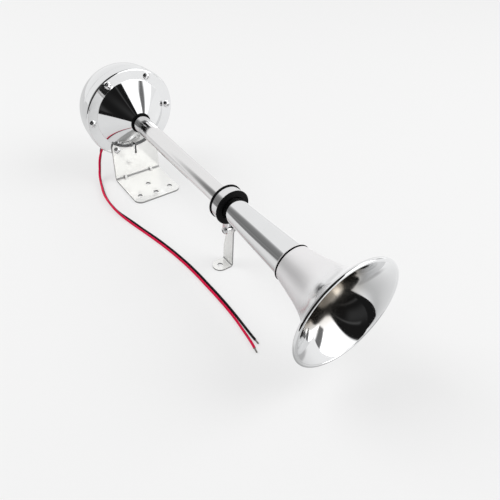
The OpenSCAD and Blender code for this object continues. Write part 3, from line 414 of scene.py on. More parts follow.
def satin_steel():
    """Drawn tube: fine lines along the horn."""
    steel = Finish(Metallic=1.0)
    lines = steel.noise(1.0, 4.0, 0.6, where=steel.round_axis(14, 0, 26))
    rough = steel.plus(steel.spread(lines, 0.05, 0.09), steel.spread(steel.noise(55.0, 3.0), 0.0, 0.03))
    shade = steel.blend(lines, (0.78, 0.775, 0.775), (0.72, 0.715, 0.715))
    return steel.surface(shade, rough, lines, 0.05, 0.00003)


def bracket_steel():
    """Plate with a grain across it that also scatters light, with small dull marks, and rougher cut edges and
    bend painted dark as painted shade.
    """
    steel = Finish(Metallic=1.0)
    grain = steel.noise(1.0, 3.0, 0.55, where=steel.place((260, 4500, 260)))
    marks = steel.noise(95.0, 4.0, 0.6)
    edge, pressed = steel.mark("sheared"), steel.mark("pressed")
    rough = steel.plus(steel.spread(grain, 0.13, 0.19), steel.spread(marks, 0.0, 0.05, 0.45, 0.75))
    rough = steel.plus(rough, steel.plus(steel.times(edge, 0.3), steel.times(pressed, 0.4)))
    shade = steel.blend(marks, (0.905, 0.905, 0.887), (0.865, 0.865, 0.851))
    metallic = steel.math("SUBTRACT", 0.6, steel.times(pressed, 0.3))
    # Painted shade: the cut edges and the bend turn dark grey, standing in for the dark they mirror.
    shade = steel.blend(edge, shade, (0.3, 0.3, 0.3))
    return steel.surface(shade, rough, grain, 0.03, 0.00002, Metallic=metallic)


def screw_steel():
    """Bright plated steel with slightly uneven gloss."""
    steel = Finish(Metallic=1.0)
    marks = steel.noise(420.0, 3.0)
    shade = steel.blend(marks, (0.76, 0.76, 0.765), (0.68, 0.68, 0.685))
    return steel.surface(shade, steel.spread(marks, 0.07, 0.16), marks, 0.05, 0.00002)


def bare_metal(bright, dull, rough_low, rough_high, scale):
    """Inner metal: a mottled colour with uneven gloss."""
    metal = Finish(Metallic=1.0)
    mottle = metal.noise(scale, 4.0, 0.6)
    shade = metal.blend(metal.spread(mottle), bright, dull)
    return metal.surface(shade, metal.spread(mottle, rough_low, rough_high), mottle, 0.1, 0.00004)


def wound_copper():
    """Enamelled wire laid in turns along the bobbin, with painted shade between the turns and painted
    highlight on their crowns.
    """
    copper = Finish(Metallic=0.75, Coat_Weight=0.5, Coat_Roughness=0.15)
    turns = copper.waves(0, pitch=0.6 * MM)
    # Painted shade and highlight: the colour darkens in the grooves between turns and lightens on their
    # crowns.
    shade = copper.blend(copper.spread(turns, start=-1.0, end=1.0), (0.25, 0.07, 0.025), (0.55, 0.19, 0.075))
    return copper.surface(shade, copper.spread(copper.noise(300.0, 3.0), 0.25, 0.4), turns, 0.6, 0.0001)


def laminate():
    """Pressed paper board with fibres along it."""
    board = Finish(Specular_IOR_Level=0.4)
    fibres = board.noise(1.0, 4.0, 0.6, where=board.place((220, 900, 2400)))
    shade = board.blend(board.spread(fibres), (0.16, 0.055, 0.02), (0.09, 0.028, 0.011))
    return board.surface(shade, board.spread(fibres, 0.4, 0.6), fibres, 0.15, 0.00005)


def moulded(colour, rough_low, rough_high, scale, strength, **sockets):
    """Rubber, plastic or card: one colour with a fine grain in its gloss and surface."""
    soft = Finish(**sockets)
    grain, cloud = soft.noise(scale, 4.0, 0.6), soft.noise(scale / 14)
    shade = soft.blend(soft.spread(cloud), colour, darker(colour, 0.8))
    return soft.surface(shade, soft.spread(grain, rough_low, rough_high), grain, strength, 0.00005)


def resistor_body():
    """Pale ceramic body with dark brown bands."""
    body = Finish(Specular_IOR_Level=0.5)
    bands = body.math("GREATER_THAN", body.waves(1, pitch=6 * MM), 0.72)
    shade = body.blend(bands, (0.6, 0.53, 0.4), (0.16, 0.05, 0.02))
    return body.surface(shade, body.spread(body.noise(900.0, 3.0), 0.35, 0.5))


def insulation(colour, grain_scale):
    """Glossy extruded insulation with a faint ripple and dust."""
    skin = Finish(Specular_IOR_Level=0.14)
    ripple, dust = skin.noise(grain_scale, 3.0, 0.55), skin.noise(1500.0)
    rough = skin.plus(skin.spread(ripple, 0.3, 0.42), skin.spread(dust, 0.0, 0.08))
    shade = skin.blend(skin.spread(ripple), colour, darker(colour, 0.82))
    return skin.surface(shade, rough, ripple, 0.12, 0.00008)


FINISHES = {
    "polished_steel": polished_steel,
    "satin_steel": satin_steel,
    "bracket_steel": bracket_steel,
    "screw_steel": screw_steel,
    "laminate": laminate,
    "resistor_body": resistor_body,
    "enamelled_copper": wound_copper,
    "gasket": lambda: moulded((0.05, 0.045, 0.04), 0.75, 0.9, 1400.0, 0.3),
    "nylon": lambda: moulded((0.72, 0.69, 0.6), 0.35, 0.5, 900.0, 0.1, Subsurface_Weight=0.05),
    "black_rubber": lambda: moulded(chosen("rubber"), 0.5, 0.66, 1100.0, 0.18, Specular_IOR_Level=0.07),
    "red_insulation": lambda: insulation(chosen("red"), 140.0),
    "black_insulation": lambda: insulation(chosen("black"), 160.0),
}
# Inner metals: their bright and dull colours, lowest and highest roughness, and the mottle's scale
METALS = {
    "plated_steel": ((0.72, 0.7, 0.62), (0.6, 0.57, 0.48), 0.2, 0.36, 260.0),
    "core_steel": ((0.45, 0.45, 0.46), (0.33, 0.33, 0.34), 0.3, 0.48, 260.0),
    "spring_steel": ((0.55, 0.58, 0.63), (0.44, 0.46, 0.52), 0.18, 0.3, 180.0),
    "brass": ((0.79, 0.58, 0.24), (0.66, 0.45, 0.17), 0.18, 0.34, 260.0),
    "contact_metal": ((0.82, 0.81, 0.79), (0.62, 0.61, 0.6), 0.2, 0.4, 900.0),
    "tinned_copper": ((0.42, 0.4, 0.38), (0.3, 0.28, 0.265), 0.3, 0.5, 1600.0),
}


def chosen(name):
    """One of the colours that the user can set."""
    return tuple(getattr(bpy.context.scene.horn_finish, name))


def finish(slot):
    """The material of one of the record's slots, made the first time it is asked for."""
    name = "horn_" + slot
    made = bpy.data.materials.get(name)
    if not made:
        made = bare_metal(*METALS[slot]) if slot in METALS else FINISHES[slot]()
        made.name = name
    return made


# Stage

CAMERA_PLACE = Vector((0.37447, -0.22943, 0.38674))
CAMERA_YAW, CAMERA_PITCH, CAMERA_ROLL = radians(141.81), radians(42.22), radians(-3.68)

# The mirrored studio: how far away its dome is, and how bright where no patch lies
DOME = 2.0
SKY_PALE = 1.03
# The side card: its distance, its rear edge at the foot and at the top, its front edge and that edge's lift
SIDE_Y, SIDE_FOOT, SIDE_TOP, SIDE_FRONT, SIDE_LIFT = -0.3, -0.15, -0.5, 0.12, 0.22
# How bright the side card is at a height above the floor
SIDE_TONES = (
    (0.0, 0.32), (0.05, 0.2), (0.1, 0.27), (0.15, 0.2), (0.2, 0.23), (0.27, 0.24), (0.35, 0.27), (0.45, 0.36),
    (0.62, 0.8),
)
# Patches of the studio, later ones over earlier ones: degrees round from and to, degrees up from and to,
# softness of the edge in degrees, brightness
SKY_PATCHES = (
    (-128, -78, -10, 100, 8.0, 0.55),
    (-78, 10, -10, 71, 1.2, 0.012),
    (-30, -10, -10, 30, 8.0, 0.035),
    (-63, -60, -10, 60, 2.0, 0.05),
    (-47, -44, -10, 66, 2.2, 0.06),
    (-9, -6, 8, 66, 1.6, 0.07),
    (-78, 10, 71, 100, 2.0, 0.1),
    (10, 76, 58, 100, 3.0, 0.2),
    (10.5, 74, -10, 58, 1.2, 1.6),
    (22, 46, -2, 27, 4.0, 4.5),
    (47.5, 61, -10, 33, 2.2, 0.2),
)


def set_camera():
    """The camera that was fitted to the photo."""
    turn = Matrix.Rotation(CAMERA_YAW - pi / 2, 4, "Z")
    turn = turn @ Matrix.Rotation(pi / 2 - CAMERA_PITCH, 4, "X") @ Matrix.Rotation(-CAMERA_ROLL, 4, "Z")
    eye = make_object("studio_camera", bpy.data.cameras.new("studio_camera"))
    eye.matrix_world = Matrix.Translation(CAMERA_PLACE) @ turn
    eye.data.lens = 40.0
    eye.data.sensor_width = 36.0
    eye.data.clip_start = 0.01
    bpy.context.scene.camera = eye


def paper_material(colour):
    """Pale paper that keeps the object's shadow; mirrored, it carries painted light and painted shadow:
    brighter on its side towards the large lamp, darker along the tube and under the bell's rim.
    """
    paper = Finish("studio_paper")
    lit = paper.add("BsdfDiffuse", {"Color": (0.9, 0.9, 0.9, 1)})
    shown = paper.add("Emission", {"Color": (*colour, 1), "Strength": 1.0})
    ahead, across, _ = paper.add("SeparateXYZ", {0: paper.place()}).outputs
    painted_shadow_y, glow_share = -0.03, 0.62
    beside = paper.math("ABSOLUTE", paper.math("SUBTRACT", across, painted_shadow_y))

    def along(low, high, start, end):
        """A level spread between two places ahead of the flange."""
        return paper.spread(ahead, low, high, FLANGE_X + start, FLANGE_X + end)

    # Painted light: mirrored, the paper is brighter towards the large lamp's side.
    side = paper.times(paper.spread(across, 0.9, 1.14, -0.03, 0.09), along(0.74, 1.0, -0.2, -0.04))
    # Painted shadow, seen only in mirrors: the paper is darker along the tube ahead of the driver and just
    # ahead of the bell's rim.
    painted_tube_shadow = paper.times(paper.spread(beside, 1.0, 0.0, 0.012, 0.085), along(0.2, 1.0, 0.1, 0.2))
    below_bell = paper.math("SUBTRACT", along(0.0, 1.0, 0.325, 0.34), along(0.0, 1.0, 0.366, 0.373))
    shadow = paper.times(below_bell, paper.spread(beside, 1.0, 0.0, 0.075, 0.1))
    shade = paper.times(paper.spread(painted_tube_shadow, 1.0, 0.5, 0.0, 1.0), paper.spread(shadow, 1.0, 0.4, 0.0, 1.0))
    mirrored = paper.add("Emission", {"Color": (1, 1, 1, 1), "Strength": paper.times(side, shade)})
    glow = paper.mixed(paper.mirrored_rays(), shown, mirrored)
    return paper.show(paper.mixed(paper.seen_rays(), lit, paper.mixed(glow_share, lit, glow)))


def glowing(name, level=None):
    """Light of one brightness, or else of the brightness that a sheet's corners carry."""
    made = Finish(name)
    strength = made.mark("level") if level is None else level
    return made.show(made.add("Emission", {"Color": (1, 1, 1, 1), "Strength": strength}))


def studio_world(colour):
    """The background: paper-coloured where it is seen, pale where it is mirrored, soft light elsewhere."""
    world = bpy.data.worlds.new("studio_world")
    world.use_nodes = True
    bpy.context.scene.world = world
    sky = NodeTree(world.node_tree)
    ambient = sky.tree.nodes["Background"]
    ambient.inputs[0].default_value = (1, 1, 1, 1)
    ambient.inputs[1].default_value = 0.55
    shown = sky.add("Background", {0: (*colour, 1), 1: 1.0})
    mirrored = sky.add("Background", {0: (1, 1, 1, 1), 1: 1.12})
    pale = sky.mixed(sky.mirrored_rays(), shown, mirrored)
    light = sky.mixed(sky.seen_rays(), ambient, pale)
    sky.tree.links.new(light.outputs[0], sky.tree.nodes["World Output"].inputs[0])


def stage_sheet(name, bm, material):
    sheet = make_object(name, as_mesh(name, bm))
    sheet.data.materials.append(material)
    return sheet


def outlined(corners):
    bm = bmesh.new()
    bm.faces.new([bm.verts.new(corner) for corner in corners])
    return bm


def reflection_card(name, bm, material):
    """A card that only polished metal sees."""
    card = stage_sheet(name, bm, material)
    card.visible_camera = False
    card.visible_diffuse = False
    card.visible_shadow = False
    card.visible_transmission = False


def eased(value, start, end):
    """0 before start, 1 after end, and a soft step between them."""
    share = min(max((value - start) / (end - start), 0.0), 1.0)
    return share * share * (3 - 2 * share)


def sky_level(turn, rise):
    """How bright the studio is, in degrees round from the horn's front and up from the floor."""
    level = SKY_PALE
    for first, last, low, high, soft, patch in SKY_PATCHES:
        within = eased(turn, first - soft, first + soft) - eased(turn, last - soft, last + soft)
        within *= eased(rise, low - soft, low + soft) - eased(rise, high - soft, high + soft)
        level += (patch - level) * within
    return level


def sky_dome():
    """The mirrored studio: a dome over the horn, with its brightness on its corners."""
    bm = bmesh.new()
    bmesh.ops.create_grid(bm, x_segments=240, y_segments=60, size=0.5)
    brightness = bm.verts.layers.float.new("level")
    for vert in bm.verts:
        turn, rise = vert.co.x * 360, (vert.co.y + 0.5) * 90
        vert[brightness] = sky_level(turn, rise)
        flat = DOME * cos(radians(rise))
        vert.co = (FLANGE_X + flat * cos(radians(turn)), flat * sin(radians(turn)), DOME * sin(radians(rise)))
    reflection_card("studio_dome", bm, glowing("sky_levels"))


def side_card():
    """A grey card left of the tubes, with a few tones up its height and pale at its rear edge."""
    bm = bmesh.new()
    brightness = bm.verts.layers.float.new("level")
    shares = [i / 16 for i in range(17)]
    full_height, pale_share = SIDE_TONES[-1][0], 0.38
    rows = []
    for height, tone in SIDE_TONES:
        rear = SIDE_FOOT + (SIDE_TOP - SIDE_FOOT) * height / full_height
        lift = SIDE_LIFT * (1 - height / full_height)
        row = [bm.verts.new((FLANGE_X + rear + (SIDE_FRONT - rear) * share, SIDE_Y,
                             height + lift * share ** 3)) for share in shares]
        for vert, share in zip(row, shares):
            vert[brightness] = SKY_PALE + (tone - SKY_PALE) * eased(share, 0.0, pale_share)
        rows.append(row)
    for low, high in zip(rows, rows[1:]):
        for first, last, above_last, above_first in zip(low, low[1:], high[1:], high):
            bm.faces.new((first, last, above_last, above_first))
    reflection_card("side_card", bm, glowing("side_levels"))


def soft_lamp(name, place, power):
    """A large square lamp that lights the horn and isn't mirrored."""
    lamp = bpy.data.lights.new(name, "AREA")
    lamp.shape = "SQUARE"
    lamp.size = 1.2
    lamp.energy = power
    box = make_object(name, lamp)
    aim = (Vector((0, 0, 0.05)) - Vector(place)).to_track_quat("-Z", "Y")
    box.matrix_world = Matrix.Translation(place) @ aim.to_matrix().to_4x4()
    box.visible_glossy = False


class HORN_OT_stage(bpy.types.Operator):
    """Set up the pale floor, the soft lamps, the dark side of the studio and the camera"""

    bl_idname = "horn.stage"
    bl_label = "Studio and Camera"

    def execute(self, context):
        colour = tuple(context.scene.horn_finish.paper)
        context.scene.view_settings.view_transform = "Standard"
        set_camera()
        studio_world(colour)
        wide, over_paper, dark = 4, 0.5 * MM, 0.012
        corners = [(-wide, -wide, 0), (wide, -wide, 0), (wide, wide, 0), (-wide, wide, 0)]
        stage_sheet("studio_floor", outlined(corners), paper_material(colour))
        soft_lamp("lamp_left", (-0.9, -0.9, 1.5), 16)
        soft_lamp("lamp_right", (0.7, 1.1, 1.3), 14)
        turns = [radians(a) for a in range(10, -79, -8)]
        edge = [(0.59, 0), (1.1, 0.03)] + [(DOME * cos(a), DOME * sin(a)) for a in turns] + [(0.16, -0.74)]
        dark_floor = outlined([(FLANGE_X + x, y, over_paper) for x, y in edge])
        reflection_card("dark_floor", dark_floor, glowing("dark_room", dark))
        sky_dome()
        side_card()
        return {"FINISHED"}


# Wires

def strand_tip(name, end, direction, node):
    """Seven twisted strands, as long as the bare end of the wire."""
    strand, pitch_radius, length, twist, steps = 0.265 * MM, 0.53 * MM, 5.0 * MM, radians(200), 24
    turns = [radians(60 * i) for i in range(6)]
    centres = [Vector((cos(a), sin(a), 0)) * pitch_radius for a in turns] + [Vector((0, 0, 0))]
    bm = bmesh.new()
    for centre in centres:
        ring = bmesh.ops.create_circle(bm, cap_ends=True, radius=strand, segments=10,
                                       matrix=Matrix.Translation(centre))["verts"]
        faces = list({f for v in ring for f in v.link_faces})
        edges = list({e for f in faces for e in f.edges})
        bmesh.ops.spin(bm, geom=ring + faces + edges, cent=(0, 0, 0), axis=(0, 0, 1),
                       dvec=(0, 0, length / steps), angle=twist, steps=steps, use_merge=False)
    bmesh.ops.recalc_face_normals(bm, faces=bm.faces)
    place = Matrix.Translation(end) @ direction.to_track_quat("Z", "Y").to_matrix().to_4x4()
    bmesh.ops.transform(bm, matrix=place, verts=bm.verts)
    return make_piece(name, bm, "horn", "tinned_copper", node, crease=50)


def lay_wire(colour, route, context):
    """One wire along its route, with its tinned tip."""
    radius = context.scene.horn_sizes.wire_radius
    points = [Vector((FLANGE_X + x * MM, y * MM, z * MM)) for x, y, z in route]
    curve = bpy.data.curves.new(colour + "_cord", "CURVE")
    curve.dimensions = "3D"
    curve.bevel_depth = radius
    curve.bevel_resolution = 6
    curve.resolution_u = 6
    curve.use_fill_caps = True
    spline = curve.splines.new("BEZIER")
    spline.bezier_points.add(len(points) - 1)
    for knot, point in zip(spline.bezier_points, points):
        knot.co = point
        knot.handle_left_type = knot.handle_right_type = "AUTO"
    wire = make_object(colour + "_cord", curve)
    curve.materials.append(finish(colour + "_insulation"))
    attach(wire, "horn")
    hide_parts(colour + "_wire")
    tip = strand_tip(colour + "_strands", points[-1], points[-1] - points[-2], colour + "_wire_end")


class HORN_OT_wires(bpy.types.Operator):
    """Lay the red and the black wire along the floor, each with its bare tinned strands"""

    bl_idname = "horn.wires"
    bl_label = "Wires"

    def execute(self, context):
        lay_wire("red", RED_ROUTE, context)
        lay_wire("black", BLACK_ROUTE, context)
        return {"FINISHED"}


# Driver

class HORN_OT_driver(bpy.types.Operator):
    """Turn the domed cover, the housing ring and the front plate with its cone"""

    bl_idname = "horn.driver"
    bl_label = "Driver"

    def execute(self, context):
        sizes = context.scene.horn_sizes
        rim, bore = sizes.rim_round / MM, sizes.tube_radius / MM + SLIP
        ledge, wall, chamfer, overlap, foot = 12.3, 1.0, 0.22, 2.2, 1.2
        housing, dome = FLANGE_R - 1.1, -ledge - DOME_BACK
        lining, spigot, brim = housing - 2.25, housing - 1.25, -ledge - chamfer
        quarter = [radians(foot + (90 - foot) * i / 56) for i in range(57)]
        outside = [(brim, housing - chamfer)]
        outside += [(brim - (dome - chamfer) * sin(a), housing * cos(a)) for a in quarter]
        outside[-1] = (DOME_BACK, 0)
        inside = [(-ledge - (dome - wall) * sin(a), lining * cos(a)) for a in reversed(quarter)]
        inside[0] = (DOME_BACK + wall, 0)
        tuck = overlap - ledge
        tucked = [(tuck, lining), (tuck, spigot), (-ledge, spigot), (-ledge, housing - 2 * chamfer)]
        turned_piece("dome_shell", outside + inside + tucked, 192, "polished_steel", "dome_cover")
        front, web, ring_bore, ring_wall = -2.8, 2.0, 38.6, 1.2
        ring = [(front, ring_bore), (front, housing - chamfer), (front - chamfer, housing),
                (chamfer - ledge, housing), (-ledge, housing - chamfer), (-ledge, housing - ring_wall),
                (front - web, housing - ring_wall), (front - web, ring_bore)]
        turned_piece("housing_ring", ring, 192, "polished_steel", "rear_housing")
        base, tip, fillet, sheet, turn_back = FLANGE_R - 12, 10.2, 1.5, 1.0, -4.5
        soft, worn, nose = 0.15, 0.12, 0.25
        slope = (base - tip) / CONE_END
        stretch = hypot(1, slope)
        plate = [(turn_back, FLANGE_R - soft), (turn_back + soft, FLANGE_R)]
        plate += shoulder(0, FLANGE_R, rim, True, 12)
        leaning, lined = degrees(atan(1 / slope)), base - sheet * stretch
        plate += arc(fillet, base + fillet * (stretch - slope), fillet, 180, 180 + leaning, 12)
        plate += [(CONE_END - nose, tip + nose * slope), (CONE_END, tip - worn), (CONE_END, bore),
                  ((lined - bore) / slope, bore), (-sheet, lined + slope * sheet)]
        plate += arc(-rim, FLANGE_R - rim, rim - sheet, 0, 90, 6)
        plate.append((turn_back, FLANGE_R - sheet))
        turned_piece("front_cone_plate", plate, 224, "polished_steel", "front_plate", crease=32)
        return {"FINISHED"}


# Trumpet

# Where the bell's dull throat with its painted shade and its duller outside neck with its painted light end,
# each with a soft step between two stations
DULL_SHADED_THROAT = (322.0, 340.0)
BUFFED_PAINTED_LIGHT = (312.0, 347.0)


def bell_outline(wall, bead):
    """Outline of the flared bell with its rolled bead, from the seam to the rim and back inside."""
    neck, rise, power, groove_depth = 17.05, 13.0, 5.0, 0.3
    overrun, crowding, steps, worn = 1.2, 1.35, 72, 0.1
    bead_x, bead_at = BELL_EDGE - bead, RIM_R - bead
    length = bead_x + overrun - SEAM

    def outer(share):
        return neck + rise * share + (bead_at - neck - rise) * share ** power

    def slope(share):
        return (rise + power * (bead_at - neck - rise) * share ** (power - 1)) / length

    def inner(share):
        return outer(share) - wall * hypot(1, slope(share))

    def meets(curve):
        """Share of the bell's length where a curve runs into the bead."""
        low, high = 0.9, 1.0
        for _ in range(40):
            middle = (low + high) / 2
            x = SEAM + length * middle
            if hypot(x - bead_x, curve(middle) - bead_at) > bead:
                low = middle
            else:
                high = middle
        return low

    def run(curve):
        last = meets(curve)
        shares = [last * (1 - (1 - i / steps) ** crowding) for i in range(steps + 1)]
        return [(SEAM + length * s, curve(s)) for s in shares]

    outside, inside = run(outer), run(inner)
    start, end = [degrees(atan2(r - bead_at, x - bead_x)) % 360 for x, r in (outside[-1], inside[-1])]
    if end > start:
        end -= 360
    roll = arc(bead_x, bead_at, bead, start, end, 40)[1:-1]
    bead_end = SEAM + 2 * NECK_BEAD
    lip = [(SEAM + worn, inside[0][1]), (SEAM, inside[0][1] + 1.2 * worn), (SEAM, neck)]
    lip += arc(SEAM + NECK_BEAD, neck, NECK_BEAD, 180, 0, 14)[1:-1]
    lip += [(bead_end, neck - groove_depth), (bead_end + NECK_GROOVE, neck - groove_depth)]
    return [p for p in outside if p[0] > lip[-1][0] + SLIP] + roll + list(reversed(inside))[:-1] + lip


def face_marks(piece, *names):
    """New values on a piece's faces, for its material to read."""
    return [piece.data.attributes.new(name, "FLOAT", "FACE") for name in names]


def mark_bell(piece):
    """Mark the dull throat inside the bell, which its material darkens as painted shade, its less polished
    outside neck, which its material lightens as painted light, and the dark groove in front of its neck bead.
    """
    throat, joint, buffed_painted_light = face_marks(piece, "throat", "joint", "buffed_painted_light")
    groove = SEAM + 2 * NECK_BEAD + NECK_GROOVE
    for face, dull, dark, satin_painted_light in zip(piece.data.polygons, throat.data, joint.data, buffed_painted_light.data):
        out = Vector((0, face.center.y, face.center.z - AXIS_Z))
        station = (face.center.x - FLANGE_X) / MM
        if face.normal.dot(out) < 0:
            # The throat's value also darkens the colour there: painted shade.
            dull.value = 1 - eased(station, *DULL_SHADED_THROAT)
        else:
            # The neck's value also lightens the colour there: painted light.
            satin_painted_light.value = 1 - eased(station, *BUFFED_PAINTED_LIGHT)
            dark.value = 1.0 if groove - 2 * NECK_GROOVE < station < groove + 0.1 else 0.0


class HORN_OT_trumpet(bpy.types.Operator):
    """Turn the seal, the two tubes and the flared bell with its rolled bead"""

    bl_idname = "horn.trumpet"
    bl_label = "Trumpet"

    def execute(self, context):
        sizes = context.scene.horn_sizes
        tube, wall = sizes.tube_radius / MM, 1.0
        bore, seal_end, seal_r, soft, chamfer = tube + SLIP, CONE_END + 2, 10.5, 0.7, 0.25
        seal = [(CONE_END, bore), (CONE_END, seal_r + 0.1)]
        seal += shoulder(CONE_END, seal_r + soft, soft, False, 6)[1:]
        seal += shoulder(seal_end, seal_r + soft, soft, True, 6)
        seal += [(seal_end, bore + chamfer), (seal_end - chamfer, bore)]
        turned_piece("black_throat_ring", seal, 96, "black_rubber", "throat_seal")
        rear_start, rear_end = 14, COLLAR + 3
        rear = [(rear_start, tube), (rear_end, tube), (rear_end, tube - wall), (rear_start, tube - wall)]
        turned_piece("straight_rear_tube", rear, 128, "satin_steel", "rear_tube")
        start, start_r, seam_r = COLLAR + 6.5, 11.5, 16.2

        def taper(x):
            return start_r + (seam_r - start_r) * (x - start) / (SEAM - start)

        back, end, neck_end, neck = COLLAR - 3, SEAM + 6, COLLAR + 4, tube + 0.1 + wall
        runs = [start + (end - start) * i / 24 for i in range(25)]
        outline = [(back, neck - wall), (back, neck), (neck_end, neck)] + [(x, taper(x)) for x in runs]
        outline += [(x, taper(x) - wall) for x in reversed(runs)] + [(neck_end, neck - wall)]
        turned_piece("tapered_front_tube", outline, 128, "polished_steel", "front_tube")
        bell = bell_outline(sizes.bell_wall / MM, sizes.bead_radius / MM)
        mark_bell(turned_piece("flared_bell", bell, 224, "polished_steel", "bell"))
        return {"FINISHED"}


# Sleeve and clamp

class HORN_OT_sleeve(bpy.types.Operator):
    """Turn the grooved rubber sleeve that the clamp band lies in"""

    bl_idname = "horn.sleeve"
    bl_label = "Rubber Sleeve"

    def execute(self, context):
        tube, ring_r, groove, front_r, front_bore = 9.35, 17.3, 15.6, 11.55, 10.45
        back, front, step = COLLAR - 6.5, COLLAR + 6.5, COLLAR - 3.05
        low, high = COLLAR - 4.3, COLLAR + 4.3
        small, lip = 0.4, 0.5
        outline = [(back, tube)] + shoulder(back, ring_r, 0.7, False, 6)
        outline += shoulder(low, ring_r, small, True, 4) + [(low, groove), (high, groove)]
        outline += shoulder(high, ring_r, lip, False, 4) + shoulder(front, ring_r, 1, True, 8)
        outline += [(front, front_r + lip)] + arc(front - lip, front_r + lip, lip, 0, -90, 5)[1:]
        outline += [(COLLAR + 4, front_bore), (step, front_bore), (step, tube)]
        turned_piece("grooved_sleeve", outline, 128, "black_rubber", "rubber_sleeve")
        return {"FINISHED"}


def strap(width, thickness, bore, gap, foot_z):
    """Bmesh of the clamp's strap: a ring whose ends turn down into two flat ears with round ends."""
    bend, flat_end, softness = 1.5, 0.02, 0.12
    centre_y = gap + bend
    centre_z = -sqrt((bore + bend) ** 2 - centre_y ** 2)
    open_turn = degrees(atan2(centre_z, centre_y))
    meet = degrees(atan2(-centre_z, -centre_y))
    side = [(gap, foot_z)] + arc(centre_y, centre_z, bend, 180, meet, 8)
    ring = arc(0, 0, bore, open_turn, 180 - open_turn, 96)
    path = side + ring[1:-1] + [(-y, z) for y, z in reversed(side)]
    bm = bmesh.new()
    verts = [bm.verts.new((COLLAR_X - width * MM / 2, y * MM, AXIS_Z + z * MM)) for y, z in path]
    edges = [bm.edges.new(pair) for pair in zip(verts, verts[1:])]
    drawn = bmesh.ops.extrude_edge_only(bm, edges=edges)["geom"]
    moved = [v for v in drawn if isinstance(v, bmesh.types.BMVert)]
    bmesh.ops.translate(bm, vec=(width * MM, 0, 0), verts=moved)
    foot = AXIS_Z + foot_z * MM
    corners = [v for v in bm.verts if abs(v.co.z - foot) < 1e-6]
    bevel(bm, corners, (width / 2 - flat_end) * MM, segments=12, affect="VERTICES")
    bmesh.ops.recalc_face_normals(bm, faces=bm.faces)
    top = max(bm.faces, key=lambda f: f.calc_center_median().z)
    grow = -thickness if top.normal.z > 0 else thickness
    bmesh.ops.solidify(bm, geom=bm.faces[:], thickness=grow * MM)
    bmesh.ops.recalc_face_normals(bm, faces=bm.faces)
    bevel(bm, creases(bm, 50), softness * MM)
    return bm


class HORN_OT_clamp(bpy.types.Operator):
    """Bend the clamp strap and make its screw, washer and nut"""

    bl_idname = "horn.clamp"
    bl_label = "Clamp"

    def execute(self, context):
        def add(name, bm, node):
            return make_piece(name, bm, "clamp", "screw_steel", node)

        band = strap(width=8.0, thickness=0.8, bore=15.68, gap=3.2, foot_z=(PIVOT_Z - AXIS_Z) / MM - 4)
        even_shading(add("clamp_strap", band, "clamp_band"))
        screw = screw_head("clamp_screw_mesh", radius=3.4, height=2.2, shank_radius=2.0, shank_length=14.6)
        seat = Matrix.Translation((COLLAR_X, -4.0 * MM, PIVOT_Z))
        facing = seat @ Matrix.Rotation(radians(24), 4, "Y") @ Matrix.Rotation(pi / 2, 4, "X")
        add("clamp_pan_screw", gathered([(screw, facing)]), "clamp_screw")
        washer = washer_mesh("clamp_washer_mesh", radius=4.0, bore=2.05, height=0.8)
        away = Matrix.Translation((COLLAR_X, 5.6 * MM, PIVOT_Z)) @ Matrix.Rotation(-pi / 2, 4, "X")
        add("clamp_flat_washer", gathered([(washer, away)]), "clamp_washer")
        even_shading(add("clamp_hex_nut", soft_copy("clamp_nut", 0.28 * MM), "clamp_nut"))
        return {"FINISHED"}


class HORN_OT_flange_screws(bpy.types.Operator):
    """Set the six pan-head screws and their washers round the flange"""

    bl_idname = "horn.flange_screws"
    bl_label = "Flange Screws"

    def execute(self, context):
        circle = context.scene.horn_sizes.screw_circle
        length = (FLANGE_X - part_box("flange_screws")[0].x) / MM
        thick, bracket = 0.7, 2.0
        pan = {"radius": 3.5, "height": 2.2, "shank_radius": 2.0}
        washer = washer_mesh("flange_washer_mesh", radius=3.9, bore=2.05, height=thick)
        upper = screw_head("upper_screw_mesh", shank_length=length + thick, **pan)
        lower = screw_head("lower_screw_mesh", shank_length=length + thick + bracket, **pan)
        heads, washers = [], []
        forwards = Matrix.Rotation(pi / 2, 4, "Y")
        for i, turn in enumerate(RECESS_TURNS):
            seat = bracket * MM if i > 3 else 0
            a = radians(60 * i)
            place = Matrix.Translation((FLANGE_X + seat, circle * cos(a), AXIS_Z + circle * sin(a)))
            facing = place @ Matrix.Rotation(radians(turn), 4, "X") @ forwards
            washers.append((washer, facing))
            heads.append((lower if seat else upper, facing @ Matrix.Translation((0, 0, thick * MM))))
        make_piece("flange_pan_screws", gathered(heads), "horn", "screw_steel", "flange_screws")
        make_piece("flange_flat_washers", gathered(washers), "horn", "screw_steel", "flange_washers")
        return {"FINISHED"}


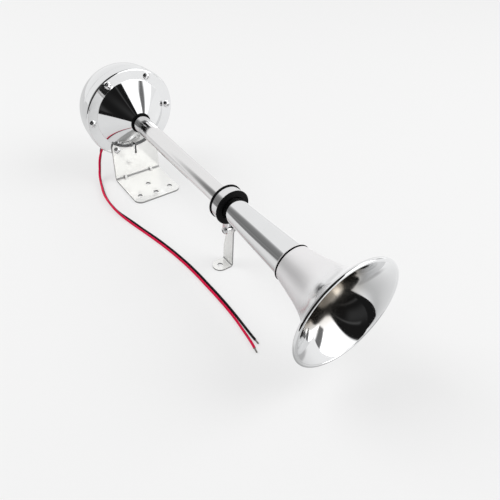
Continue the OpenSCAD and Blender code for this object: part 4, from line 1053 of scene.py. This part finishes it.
def mark_shaded_edges_and_dimples(piece, across):
    """Mark the cut edges and the bend of a bracket, which its material paints dark as painted shade, and its
    dimples; its plate faces along axis number across.
    """
    marks, dimples = face_marks(piece, "sheared", "pressed")
    along = 1 - across
    ends = [v.co[along] for v in piece.data.vertices]
    margin, foot, bend_low, bend_high, plate = 3 * MM, 2.2 * MM, 2 * MM, 5 * MM, 11 * MM
    dimple_low, dimple_high, flat = 1.6 * MM, 6 * MM, 0.97
    low, high = min(ends) + margin, max(ends) - margin
    for face, mark, dimple in zip(piece.data.polygons, marks.data, dimples.data):
        place, facing = face.center, face.normal
        outer = not low < place[along] < high
        side = abs(facing[along]) > 0.45 and outer
        upright = place.z > plate and abs(facing[across]) < 0.55
        lying = place.z < foot and abs(facing.z) < 0.55
        bent = bend_low < place.z < bend_high and 0.2 < abs(facing.z) < flat
        tilted = abs(facing[along]) > 0.08 and not outer and place.z > foot
        near = dimple_low < place.z < dimple_high and abs(abs(place.y) - DIMPLE_Y * MM) < DIMPLE_REACH * MM
        raised = across == 0 and near and max(abs(facing.x), abs(facing.z)) < flat
        # The edge mark paints the cut edges and the bend dark: painted shade.
        mark.value = 0.0 if raised else 1.0 if side or upright or lying else 0.95 * bent
        dimple.value = float(tilted or raised)


class HORN_OT_brackets(bpy.types.Operator):
    """Soften the sheared edges of both brackets"""

    bl_idname = "horn.brackets"
    bl_label = "Brackets"

    def execute(self, context):
        soft = context.scene.horn_sizes.edge_softness
        for name, node, body, width, across in (
                ("rear_foot_bracket", "rear_bracket", "horn", soft, 0),
                ("front_foot_bracket", "front_bracket", "front_bracket", soft * 0.8, 1)):
            piece = make_piece(name, soft_copy(node, width), body, "bracket_steel", node)
            mark_shaded_edges_and_dimples(piece, across)
            even_shading(piece)
        return {"FINISHED"}


class HORN_OT_finish_nodes(bpy.types.Operator):
    """Give every CAD node the material of its slot"""

    bl_idname = "horn.finish_nodes"
    bl_label = "Finish the Inner Pieces"

    def execute(self, context):
        for part in frame["record"]["subparts"]:
            mesh = frame["nodes"][part["node"]].data
            mesh.materials.clear()
            mesh.materials.append(finish(part["material_slot"]))
        return {"FINISHED"}


class HORN_PT_panel(bpy.types.Panel):
    """Buttons that build the horn, one piece or group at a time"""

    bl_idname = "HORN_PT_panel"
    bl_label = "Electric Trumpet Horn"
    bl_space_type = "VIEW_3D"
    bl_region_type = "UI"
    bl_category = "Horn"

    def draw(self, context):
        for group in (context.scene.horn_sizes, context.scene.horn_finish):
            box = self.layout.box()
            for name in group.__annotations__:
                box.prop(group, name)
        for operator in OPERATORS:
            self.layout.operator(operator.bl_idname)


OPERATORS = (
    HORN_OT_stage, HORN_OT_wires, HORN_OT_driver, HORN_OT_trumpet, HORN_OT_sleeve, HORN_OT_clamp,
    HORN_OT_flange_screws, HORN_OT_brackets, HORN_OT_finish_nodes,
)
CLASSES = (HornSizes, HornFinish, *OPERATORS, HORN_PT_panel)


def register():
    for cls in CLASSES:
        bpy.utils.register_class(cls)
    bpy.types.Scene.horn_sizes = bpy.props.PointerProperty(type=HornSizes)
    bpy.types.Scene.horn_finish = bpy.props.PointerProperty(type=HornFinish)


def unregister():
    del bpy.types.Scene.horn_finish
    del bpy.types.Scene.horn_sizes
    for cls in reversed(CLASSES):
        bpy.utils.unregister_class(cls)


def main():
    register()
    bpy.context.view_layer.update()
    for operator in OPERATORS:
        group, name = operator.bl_idname.split(".")
        getattr(getattr(bpy.ops, group), name)()


if __name__ == "__main__":
    main()
